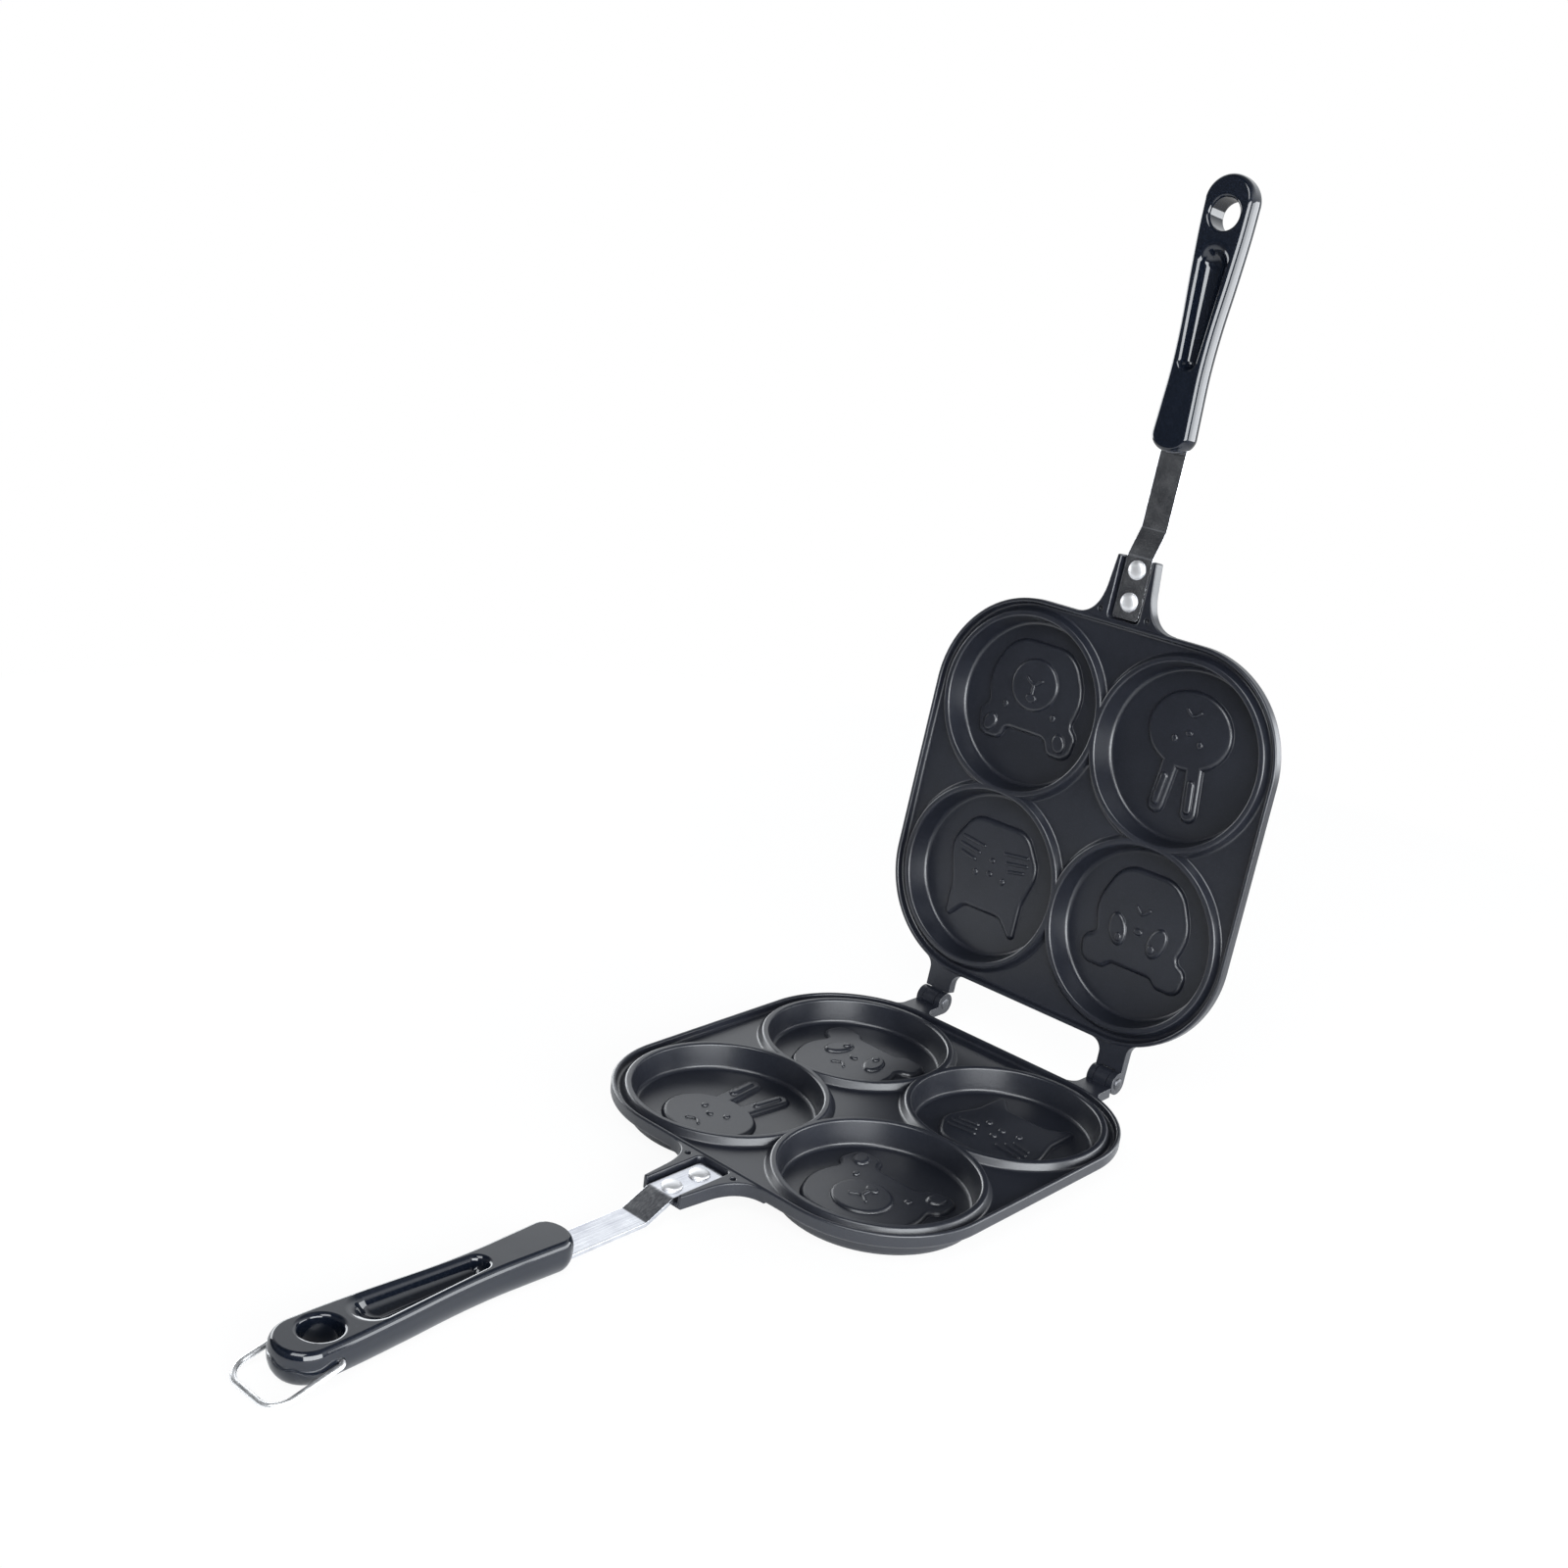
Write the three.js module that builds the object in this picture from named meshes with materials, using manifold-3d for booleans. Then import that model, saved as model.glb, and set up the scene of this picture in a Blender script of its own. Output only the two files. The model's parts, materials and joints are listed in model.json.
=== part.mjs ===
// Hinged double frying pan with four round cavities in each half, standing open.
// Two identical castings face each other: the upper one is the lower one turned over
// about its length and swung up on the hinge. Millimetres, +Z up. Each half is drawn in
// the frame of its own casting: the hinge axis is X, the handle runs towards -Y, and the
// two castings meet in the plane z = 0 when the pan is shut.

import * as THREE from 'three';
import { mergeVertices } from 'three/addons/utils/BufferGeometryUtils.js';
import Module from 'manifold-3d';

const wasm = await Module();
wasm.setup();

// Fits and cuts
const CLEARANCE = 0.3;
const OVERRUN = 2;
const OPEN_ANGLE = THREE.MathUtils.degToRad(98.2);

// Cavities: RING_RADIUS is the middle of the raised lip, which neighbouring rings share
const RING_RADIUS = 45;
const LIP_WIDTH = 2.8;
const CAVITY_DEPTH = 12;
const CAVITY_TAPER = 2.2;
const FLOOR_FILLET = 1.6;
const FLOOR_THICKNESS = 3.6;
const BOWL_WALL = 2.6;
const BOWL_FOOT_CHAMFER = 4;
const RING_FLARE = 2;

// Plate between and round the rings
const GROOVE_WIDTH = 4.3;
const RIM_WIDTH = 2;
const RIM_CHAMFER = 0.5;
const EDGE_CHAMFER = 1;
const LAND_DROP = 3.75;
const LAND_THICKNESS = 2.6;

// Animal faces raised on the cavity floors
const FACE_HEIGHT = 1.2;
const FEATURE_HEIGHT = 0.6;
const FACE_ROOT = 1;

// Hinge arms
const EDGE_TO_AXIS = 16.6;
const ARM_SPREAD = 53;
const ARM_WIDTH = 14.6;
const BARREL_RADIUS = 5.5;
const ARM_DROP = 0.6;
const ARM_ROOT_FILLET = 6;
const ARM_ROOT_DEPTH = 5;
const TONGUE_WIDTH = 7.2;
const STOP_HEEL_REACH = 7.6;
const STOP_HEEL_BACK = 1.5;
const PIN_RADIUS = 2;
const PIN_HEAD_RADIUS = 3;
const PIN_HEAD_HEIGHT = 1.2;
const PIN_TAIL_RADIUS = 2.8;

// Bracket on the far edge that takes the strap
const BRACKET_LENGTH = 31.6;
const BRACKET_ROOT_HALF = 28;
const BRACKET_FLARE_HALF = 14.5;
const BRACKET_NECK_HALF = 12.6;
const BRACKET_NECK_AT = 17;
const BRACKET_RIB_TIP = 2.2;
const BRACKET_DROP = 0.6;
const BRACKET_ROOT_DEPTH = 5;
const TROUGH_PLAY = 1.7;
const TROUGH_FLOOR = 1.8;
const PIT_RADIUS = 1.3;
const PIT_DEPTH = 2;
const PIT_SPREAD = 13.3;
const PIT_FROM_EDGE = 4;

// Flat steel strap, cranked down between bracket and grip
const STRAP_WIDTH = 14.4;
const STRAP_THICKNESS = 2;
const STRAP_DROP = 2.9;
const STRAP_TO_BEND = 32.3;
const STRAP_CRANK_RUN = 14;
const STRAP_CRANK_FALL = 6.2;
const STRAP_CORNER = 2;
const TANG_WIDTH = 11;
const TANG_LENGTH = 35;
const TANG_SHOULDER_IN = 10;

// Rivets through strap and bracket floor
const RIVET_RADIUS = 2.4;
const RIVET_HEAD_RADIUS = 4.7;
const RIVET_HEAD_HEIGHT = 2.1;
const RIVET_TAIL_RADIUS = 3.9;
const RIVET_TAIL_HEIGHT = 1.4;
const FRONT_RIVET_FROM_EDGE = 10.2;
const RIVET_SPACING = 15.8;

// Moulded grip
const GRIP_FROM_EDGE = 83;
const GRIP_LENGTH = 131;
const GRIP_HALF_WIDTH = 13;
const GRIP_DEPTH = 15;
const GRIP_DROP = 0.6;
const HANG_HOLE_RADIUS = 7.8;
const HANG_HOLE_FLARE = 1.5;
const HANG_HOLE_FROM_TIP = 19;
const RECESS_START = 39;
const RECESS_END = 97;
const RECESS_NARROW_RADIUS = 4.6;
const RECESS_WIDE_RADIUS = 7.6;
const RECESS_DEPTH = 5.5;
const RECESS_SLOPE = 1.6;
const SCREW_FROM_FRONT = 26;
const SCREW_RADIUS = 1.8;
const SCREW_HEAD_RADIUS = 3.4;
const SCREW_HEAD_HEIGHT = 2.2;
const SCREW_SUNK = 0.8;
const SCREW_BITE = 3;

// Wire loop that locks the two grips together
const WIRE_RADIUS = 1.2;
const LOOP_REACH = 29;
const LOOP_CORNER = 7;
const LOOP_PIVOT_DROP = 6.9;
const LOOP_PIN_DEPTH = 3;

// Roundness: an arc takes two steps for each of its ARC_STEPS
const RING_SIDES = 40;
const CORNER_ARC_STEPS = 6;
const BARREL_ARC_STEPS = 7;
const SMALL_ARC_STEPS = 2;
const HEAD_ARC_STEPS = 8;
const FEATURE_ARC_STEPS = 5;
const HOLE_SIDES = 20;
const SMALL_SIDES = 12;
const WIRE_ARC_STEPS = 4;
const WIRE_STEPS = 42;
const GRIP_POINTS = 46;

// Places that follow from the sizes above
const PARTING = -CLEARANCE / 2;
const LIP_OUTER = RING_RADIUS + LIP_WIDTH / 2;
const LIP_INNER = RING_RADIUS - LIP_WIDTH / 2;
const CORNER_RADIUS = LIP_OUTER + GROOVE_WIDTH + RIM_WIDTH;
const NEAR_ROW = -(EDGE_TO_AXIS + CORNER_RADIUS);
const FAR_ROW = NEAR_ROW - 2 * RING_RADIUS;
const FAR_EDGE = FAR_ROW - CORNER_RADIUS;
const LAND_TOP = PARTING - LAND_DROP;
const LAND_BOTTOM = LAND_TOP - LAND_THICKNESS;
const FLOOR_TOP = PARTING - CAVITY_DEPTH;
const TABLE = FLOOR_TOP - FLOOR_THICKNESS;
const CAVITIES = [NEAR_ROW, FAR_ROW].flatMap((y) => [-RING_RADIUS, RING_RADIUS].map((x) => [x, y]));
const TONGUE_SLOT = TONGUE_WIDTH + 2 * CLEARANCE;
const ARM_END = BARREL_RADIUS + CLEARANCE;
const STRAP_START = FAR_EDGE - TROUGH_PLAY;
const STRAP_UNDERSIDE = -STRAP_DROP - STRAP_THICKNESS;
const TROUGH_FLOOR_TOP = STRAP_UNDERSIDE - CLEARANCE;
const RIVETS = [FRONT_RIVET_FROM_EDGE, FRONT_RIVET_FROM_EDGE + RIVET_SPACING].map((d) => FAR_EDGE - d);
const GRIP_FRONT = FAR_EDGE - GRIP_FROM_EDGE;
const TANG_TOP = -STRAP_DROP - STRAP_CRANK_FALL;
const HANG_HOLE = GRIP_LENGTH - HANG_HOLE_FROM_TIP;
const LOOP_HALF_WIDTH = GRIP_HALF_WIDTH + CLEARANCE + WIRE_RADIUS;
const LOOP_Z = -GRIP_DROP - LOOP_PIVOT_DROP;
const LOOP_DROOP = Math.asin((LOOP_Z - TABLE - WIRE_RADIUS) / LOOP_REACH);

// Materials

const coating = { color: 0x2c2e33, roughness: 0.5, metalness: 0.35 };
const steel = { color: 0xc8cbd0, roughness: 0.32, metalness: 1 };
const aluminium = { color: 0xe2e4e6, roughness: 0.25, metalness: 1 };
const zincedSteel = { color: 0xb4b7bb, roughness: 0.35, metalness: 1 };
const chrome = { color: 0xd9dce0, roughness: 0.15, metalness: 1 };
const phenolic = { color: 0x131518, roughness: 0.14, metalness: 0 };

function piece(name, geometry, look) {
  const mesh = new THREE.Mesh(geometry, new THREE.MeshStandardMaterial({ ...look, flatShading: true }));
  mesh.name = name;
  return mesh;
}

// Solids, and how they are joined and cut

function solid(geometry) {
  geometry.deleteAttribute('normal');
  geometry.deleteAttribute('uv');
  const merged = mergeVertices(geometry);
  const corners = merged.index.array;
  const kept = [];
  for (let i = 0; i < corners.length; i += 3) {
    const [a, b, c] = corners.slice(i, i + 3);
    if (a !== b && b !== c && c !== a) kept.push(a, b, c);
  }
  return new wasm.Manifold(new wasm.Mesh({
    numProp: 3,
    vertProperties: merged.attributes.position.array,
    triVerts: Uint32Array.from(kept),
  }));
}

function geometryOf(body) {
  const mesh = body.getMesh();
  const geometry = new THREE.BufferGeometry();
  geometry.setAttribute('position', new THREE.BufferAttribute(mesh.vertProperties, 3));
  geometry.setIndex(new THREE.BufferAttribute(mesh.triVerts, 1));
  return geometry;
}

function joined(first, ...others) {
  return others.reduce((body, other) => body.add(other), first);
}

function cut(body, ...tools) {
  return tools.reduce((rest, tool) => rest.subtract(tool), body);
}

function box(x0, x1, y0, y1, z0, z1) {
  const geometry = new THREE.BoxGeometry(x1 - x0, y1 - y0, z1 - z0);
  geometry.translate((x0 + x1) / 2, (y0 + y1) / 2, (z0 + z1) / 2);
  return solid(geometry);
}

// A plan outline raised from z0 to z1
function raised(shape, z0, z1, curveSegments = CORNER_ARC_STEPS) {
  const geometry = new THREE.ExtrudeGeometry(shape, { depth: z1 - z0, bevelEnabled: false, curveSegments });
  geometry.translate(0, 0, z0);
  return solid(geometry);
}

// A side profile, drawn as (y, z), swept from x0 to x1
function swept(profile, x0, x1) {
  const geometry = new THREE.ExtrudeGeometry(profile, {
    depth: x1 - x0,
    bevelEnabled: false,
    curveSegments: BARREL_ARC_STEPS,
  });
  const [alongX, alongY, alongZ] = [[1, 0, 0], [0, 1, 0], [0, 0, 1]].map((v) => new THREE.Vector3(...v));
  geometry.applyMatrix4(new THREE.Matrix4().makeBasis(alongY, alongZ, alongX));
  geometry.translate(x0, 0, 0);
  return solid(geometry);
}

// A profile of (radius, height) points, from the axis at the bottom to the axis at the top
function turned(points, sides) {
  const geometry = new THREE.LatheGeometry(points.map(([r, h]) => new THREE.Vector2(r, h)), sides);
  geometry.rotateX(Math.PI / 2);
  return geometry;
}

function turnedAt(points, sides, x, y) {
  const geometry = turned(points, sides);
  geometry.translate(x, y, 0);
  return solid(geometry);
}

// The same turned solid lying along X
function turnedAlongX(points, sides, x) {
  const geometry = turned(points, sides);
  geometry.rotateY(Math.PI / 2);
  geometry.translate(x, 0, 0);
  return solid(geometry);
}

// Outlines of equal point counts stacked in height and closed at both ends
function stacked(layers) {
  const count = layers[0].points.length;
  const positions = layers.flatMap(({ z, points }) => points.flatMap((p) => [p.x, p.y, z]));
  const index = [];
  for (let k = 0; k + 1 < layers.length; k += 1) {
    for (let i = 0; i < count; i += 1) {
      const a = k * count + i;
      const b = k * count + ((i + 1) % count);
      index.push(a, b, b + count, a, b + count, a + count);
    }
  }
  const top = (layers.length - 1) * count;
  for (const [a, b, c] of THREE.ShapeUtils.triangulateShape(layers[0].points, [])) index.push(c, b, a);
  for (const [a, b, c] of THREE.ShapeUtils.triangulateShape(layers.at(-1).points, [])) {
    index.push(top + a, top + b, top + c);
  }
  const geometry = new THREE.BufferGeometry();
  geometry.setAttribute('position', new THREE.Float32BufferAttribute(positions, 3));
  geometry.setIndex(index);
  return solid(geometry);
}

// A closed outline moved inwards along its normals
function inset(points, distance) {
  return points.map((p, i) => {
    const before = points.at(i - 1);
    const after = points[(i + 1) % points.length];
    const along = after.clone().sub(before).normalize();
    return new THREE.Vector2(p.x - along.y * distance, p.y + along.x * distance);
  });
}

// The two castings, which are alike

// The plate's outline: straight sides and corners concentric with the four cavities
function plateOutline(inwards) {
  const radius = CORNER_RADIUS - inwards;
  const shape = new THREE.Shape();
  shape.absarc(RING_RADIUS, NEAR_ROW, radius, 0, Math.PI / 2);
  shape.absarc(-RING_RADIUS, NEAR_ROW, radius, Math.PI / 2, Math.PI);
  shape.absarc(-RING_RADIUS, FAR_ROW, radius, Math.PI, Math.PI * 1.5);
  shape.absarc(RING_RADIUS, FAR_ROW, radius, Math.PI * 1.5, Math.PI * 2);
  return shape;
}

function plateBlank() {
  const outline = (inwards) => plateOutline(inwards).getPoints(CORNER_ARC_STEPS).slice(0, -1);
  return stacked([
    { z: LAND_BOTTOM, points: outline(EDGE_CHAMFER) },
    { z: LAND_BOTTOM + EDGE_CHAMFER, points: outline(0) },
    { z: PARTING - RIM_CHAMFER, points: outline(0) },
    { z: PARTING, points: outline(RIM_CHAMFER) },
  ]);
}

function bowl([x, y]) {
  const footRadius = LIP_INNER - CAVITY_TAPER + BOWL_WALL;
  return turnedAt([
    [0, TABLE],
    [footRadius - BOWL_FOOT_CHAMFER, TABLE],
    [footRadius, TABLE + BOWL_FOOT_CHAMFER],
    [LIP_OUTER + RING_FLARE, LAND_TOP],
    [LIP_OUTER, PARTING],
    [0, PARTING],
  ], RING_SIDES, x, y);
}

function cavity([x, y]) {
  const floorRadius = LIP_INNER - CAVITY_TAPER;
  return turnedAt([
    [0, FLOOR_TOP],
    [floorRadius - FLOOR_FILLET, FLOOR_TOP],
    [floorRadius, FLOOR_TOP + FLOOR_FILLET],
    [LIP_INNER, PARTING],
    [LIP_INNER, PARTING + OVERRUN],
    [0, PARTING + OVERRUN],
  ], RING_SIDES, x, y);
}

// The fillet between an arm's outer side and the plate's rounded corner: where its middle
// lies, the angle at which it touches the corner, and where it ends there
function outerFillet(centre) {
  const flared = ARM_WIDTH / 2 + ARM_ROOT_FILLET;
  const across = Math.abs(centre) + flared - RING_RADIUS;
  const along = Math.sqrt((CORNER_RADIUS + ARM_ROOT_FILLET) ** 2 - across ** 2);
  const middle = NEAR_ROW + along;
  const touching = Math.atan2(-along, -across);
  return { middle, touching, end: middle + ARM_ROOT_FILLET * Math.sin(touching) };
}

// An arm seen from above: its inner side is filleted to the plate's straight edge,
// its outer side runs on into the plate's rounded corner
function armPlan(centre, root) {
  const half = ARM_WIDTH / 2;
  const flared = half + ARM_ROOT_FILLET;
  const { middle, touching } = outerFillet(centre);
  const plan = new THREE.Shape();
  plan.moveTo(-flared, root);
  plan.absarc(-flared, -EDGE_TO_AXIS + ARM_ROOT_FILLET, ARM_ROOT_FILLET, -Math.PI / 2, 0, false);
  plan.lineTo(-half, BARREL_RADIUS + OVERRUN);
  plan.lineTo(half, BARREL_RADIUS + OVERRUN);
  plan.absarc(flared, middle, ARM_ROOT_FILLET, Math.PI, touching, false);
  plan.lineTo(half, root);

  const outward = Math.sign(centre);
  const points = plan.getPoints(SMALL_ARC_STEPS);
  return new THREE.Shape(points.map((point) => new THREE.Vector2(outward * point.x, point.y)));
}

// One hinge arm: its side profile and its plan, intersected
function hingeArm(centre) {
  const root = Math.min(-(EDGE_TO_AXIS + ARM_ROOT_DEPTH), outerFillet(centre).end);
  const dropAngle = Math.PI - Math.asin(-ARM_DROP / BARREL_RADIUS);
  const profile = new THREE.Shape();
  profile.moveTo(root, -ARM_DROP);
  profile.lineTo(root, -BARREL_RADIUS);
  profile.lineTo(0, -BARREL_RADIUS);
  profile.absarc(0, 0, BARREL_RADIUS, -Math.PI / 2, dropAngle);

  const span = ARM_WIDTH / 2 + ARM_ROOT_FILLET + OVERRUN;
  const reach = BARREL_RADIUS + OVERRUN;
  const fromAbove = raised(armPlan(centre, root), -reach, reach, SMALL_ARC_STEPS);
  return swept(profile, -span, span).intersect(fromAbove).translate(centre, 0, 0);
}

function pinHole(centre) {
  const radius = PIN_RADIUS + CLEARANCE;
  const half = ARM_WIDTH;
  return turnedAlongX([[0, -half], [radius, -half], [radius, half], [0, half]], SMALL_SIDES, centre);
}

// Two ears with a slot between them
function clevis(centre) {
  const half = TONGUE_SLOT / 2;
  const reach = BARREL_RADIUS + OVERRUN;
  const slot = box(centre - half, centre + half, -ARM_END, reach, -reach, reach);
  return cut(hingeArm(centre), slot, pinHole(centre));
}

// Where the lower clevis web's bottom corner lies in the upper casting when the pan is open
function stopHeight() {
  const corner = new THREE.Vector3(0, -ARM_END, -BARREL_RADIUS);
  corner.applyAxisAngle(new THREE.Vector3(1, 0, 0), OPEN_ANGLE);
  return -corner.z - CLEARANCE;
}

// A single tongue whose heel meets the other casting's web when the pan is fully open
function tongue(centre) {
  const inner = TONGUE_WIDTH / 2;
  const reach = BARREL_RADIUS + OVERRUN;
  const outer = ARM_WIDTH / 2 + OVERRUN;
  const sides = [[-outer, -inner], [inner, outer]].map(([x0, x1]) => (
    box(centre + x0, centre + x1, -ARM_END, reach, -reach, reach)
  ));
  const heel = box(centre - inner, centre + inner, 0, STOP_HEEL_REACH, -STOP_HEEL_BACK, stopHeight());
  return cut(joined(cut(hingeArm(centre), ...sides), heel), pinHole(centre));
}

// Two ribs with a floor between them, under the strap
function bracket() {
  const tip = FAR_EDGE - BRACKET_LENGTH;
  const neck = FAR_EDGE - BRACKET_NECK_AT;
  const root = FAR_EDGE + BRACKET_ROOT_DEPTH;
  const half = STRAP_WIDTH / 2 + TROUGH_PLAY;
  const tipHalf = half + BRACKET_RIB_TIP;
  const plan = new THREE.Shape();
  plan.moveTo(-BRACKET_ROOT_HALF, root);
  plan.lineTo(-BRACKET_ROOT_HALF, FAR_EDGE);
  plan.quadraticCurveTo(-BRACKET_FLARE_HALF, FAR_EDGE, -BRACKET_NECK_HALF, neck);
  plan.lineTo(-tipHalf, tip);
  plan.lineTo(tipHalf, tip);
  plan.lineTo(BRACKET_NECK_HALF, neck);
  plan.quadraticCurveTo(BRACKET_FLARE_HALF, FAR_EDGE, BRACKET_ROOT_HALF, FAR_EDGE);
  plan.lineTo(BRACKET_ROOT_HALF, root);

  const bottom = TROUGH_FLOOR_TOP - TROUGH_FLOOR;
  const end = tip - OVERRUN;
  const trough = box(-half, half, end, FAR_EDGE - TROUGH_PLAY / 2, TROUGH_FLOOR_TOP, OVERRUN);
  const holes = RIVETS.map((y) => rivetHole(y, bottom - OVERRUN, TROUGH_FLOOR_TOP + OVERRUN));
  const pitFloor = -BRACKET_DROP - PIT_DEPTH;
  const pits = [-PIT_SPREAD, PIT_SPREAD].map((x) => turnedAt(
    [[0, pitFloor], [PIT_RADIUS, pitFloor], [PIT_RADIUS, OVERRUN], [0, OVERRUN]],
    SMALL_SIDES,
    x,
    FAR_EDGE - PIT_FROM_EDGE,
  ));
  return cut(raised(plan, bottom, -BRACKET_DROP), trough, ...holes, ...pits);
}

function rivetHole(y, z0, z1) {
  const radius = RIVET_RADIUS + CLEARANCE;
  return turnedAt([[0, z0], [radius, z0], [radius, z1], [0, z1]], SMALL_SIDES, 0, y);
}

// The faces, in shares of RING_RADIUS. An oval is given by where its middle lies across and
// up, its half-width, its half-height and its lean; what comes in pairs is given once.
const PANDA_SHARES = {
  head: [0, -0.14, 0.57, 0.55, 0],
  ears: [0.48, 0.34, 0.16, 0.16, 0],
  eyePatches: [0.25, 0.02, 0.1, 0.18, 0.3],
};
const CAT_SHARES = {
  outline: [
    [0, -0.61], [0.24, -0.59], [0.42, -0.52], [0.54, -0.41], [0.59, -0.25], [0.58, -0.09],
    [0.52, 0.1], [0.49, 0.28], [0.46, 0.63], [0.28, 0.53], [0.11, 0.45], [0, 0.44],
  ],
};
const RABBIT_SHARES = {
  head: [0, -0.26, 0.5, 0.43, 0],
  ears: [0.17, 0.4, 0.115, 0.29, -0.14],
};
const BEAR_SHARES = {
  head: [0, -0.18, 0.6, 0.5, 0],
  ears: [0.46, 0.32, 0.17, 0.17, 0],
  snout: [0, -0.2, 0.3, 0.3, 0],
};

function relief(shares, height, steps) {
  const [across, up, halfWidth, halfHeight] = shares.slice(0, 4).map((share) => share * RING_RADIUS);
  const shape = new THREE.Shape();
  shape.absellipse(across, up, halfWidth, halfHeight, 0, Math.PI * 2, false, shares[4]);
  return raised(shape, FLOOR_TOP - FACE_ROOT, FLOOR_TOP + height, steps);
}

function pair(shares, height, steps) {
  const [across, up, halfWidth, halfHeight, lean] = shares;
  return [
    relief(shares, height, steps),
    relief([-across, up, halfWidth, halfHeight, -lean], height, steps),
  ];
}

function catHead() {
  const right = CAT_SHARES.outline.map(([across, up]) => (
    new THREE.Vector2(across * RING_RADIUS, up * RING_RADIUS)
  ));
  const left = right.slice(1, -1).reverse().map((p) => new THREE.Vector2(-p.x, p.y));
  return raised(new THREE.Shape([...right, ...left]), FLOOR_TOP - FACE_ROOT, FLOOR_TOP + FACE_HEIGHT);
}

// One face for each of CAVITIES, in the same order
function faces() {
  const raisedHeight = FACE_HEIGHT + FEATURE_HEIGHT;
  const head = (shares) => [
    relief(shares.head, FACE_HEIGHT, HEAD_ARC_STEPS),
    ...pair(shares.ears, FACE_HEIGHT, FEATURE_ARC_STEPS),
  ];
  const panda = [...head(PANDA_SHARES), ...pair(PANDA_SHARES.eyePatches, raisedHeight, FEATURE_ARC_STEPS)];
  const bear = [...head(BEAR_SHARES), relief(BEAR_SHARES.snout, raisedHeight, HEAD_ARC_STEPS)];
  return [panda, [catHead()], head(RABBIT_SHARES), bear].flatMap((parts, i) => {
    const [x, y] = CAVITIES[i];
    return parts.map((part) => part.translate(x, y, 0));
  });
}

function casting() {
  const outside = joined(plateBlank(), clevis(-ARM_SPREAD), tongue(ARM_SPREAD), bracket());
  const dished = cut(outside, raised(plateOutline(RIM_WIDTH), LAND_TOP, OVERRUN));
  const moulds = cut(joined(dished, ...CAVITIES.map(bowl)), ...CAVITIES.map(cavity));
  return geometryOf(joined(moulds, ...faces()));
}

// The strap, drawn from its end at the plate

function strap() {
  const start = STRAP_START;
  const bend = FAR_EDGE - STRAP_TO_BEND;
  const lowBend = bend - STRAP_CRANK_RUN;
  const end = GRIP_FRONT - TANG_LENGTH;
  const slope = Math.atan2(STRAP_CRANK_FALL, STRAP_CRANK_RUN);
  const shift = STRAP_THICKNESS * Math.tan(slope / 2);
  const profile = new THREE.Shape();
  profile.moveTo(start, -STRAP_DROP);
  profile.lineTo(bend, -STRAP_DROP);
  profile.lineTo(lowBend, TANG_TOP);
  profile.lineTo(end, TANG_TOP);
  profile.lineTo(end, TANG_TOP - STRAP_THICKNESS);
  profile.lineTo(lowBend + shift, TANG_TOP - STRAP_THICKNESS);
  profile.lineTo(bend + shift, STRAP_UNDERSIDE);
  profile.lineTo(start, STRAP_UNDERSIDE);

  const half = STRAP_WIDTH / 2;
  const tangHalf = TANG_WIDTH / 2;
  const shoulder = GRIP_FRONT - TANG_SHOULDER_IN;
  const plan = new THREE.Shape();
  plan.moveTo(-half + STRAP_CORNER, start);
  plan.quadraticCurveTo(-half, start, -half, start - STRAP_CORNER);
  plan.lineTo(-half, shoulder);
  plan.lineTo(-tangHalf, shoulder);
  plan.lineTo(-tangHalf, end - OVERRUN);
  plan.lineTo(tangHalf, end - OVERRUN);
  plan.lineTo(tangHalf, shoulder);
  plan.lineTo(half, shoulder);
  plan.lineTo(half, start - STRAP_CORNER);
  plan.quadraticCurveTo(half, start, half - STRAP_CORNER, start);

  const below = TANG_TOP - STRAP_THICKNESS - OVERRUN;
  const flat = raised(plan, below, 0, SMALL_ARC_STEPS);
  const holes = RIVETS.map((y) => rivetHole(y, below, 0));
  const screwRadius = SCREW_RADIUS + CLEARANCE;
  const screwHole = turnedAt(
    [[0, below], [screwRadius, below], [screwRadius, 0], [0, 0]],
    SMALL_SIDES,
    0,
    GRIP_FRONT - SCREW_FROM_FRONT,
  );
  return geometryOf(cut(swept(profile, -half, half).intersect(flat), ...holes, screwHole));
}

// Rivets, hinge pins and screws

// Rounded head of one radius and height, as profile points from its edge to the axis
function domePoints(radius, z0, height) {
  const steps = [0, 1, 2, 3].map((i) => (i / 3) * (Math.PI / 2));
  return steps.map((a) => [radius * Math.cos(a), z0 + height * Math.sin(a)]);
}

function underDomePoints(radius, z0, height) {
  return domePoints(radius, z0, -height).reverse();
}

// The origin is on the strap's top face
function rivet() {
  const grip = STRAP_THICKNESS + CLEARANCE + TROUGH_FLOOR;
  const tail = -grip - CLEARANCE;
  return turned([
    ...underDomePoints(RIVET_TAIL_RADIUS, tail, RIVET_TAIL_HEIGHT),
    [RIVET_RADIUS, tail],
    [RIVET_RADIUS, CLEARANCE],
    ...domePoints(RIVET_HEAD_RADIUS, CLEARANCE, RIVET_HEAD_HEIGHT),
  ], SMALL_SIDES);
}

// The pin of a clevis: a domed head outside and a spread tail inside
function hingePin() {
  const half = ARM_WIDTH / 2 + CLEARANCE;
  const geometry = turned([
    ...underDomePoints(PIN_HEAD_RADIUS, -half, PIN_HEAD_HEIGHT),
    [PIN_RADIUS, -half],
    [PIN_RADIUS, half],
    ...domePoints(PIN_TAIL_RADIUS, half, PIN_HEAD_HEIGHT / 2),
  ], SMALL_SIDES);
  geometry.rotateY(Math.PI / 2);
  return geometry;
}

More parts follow.
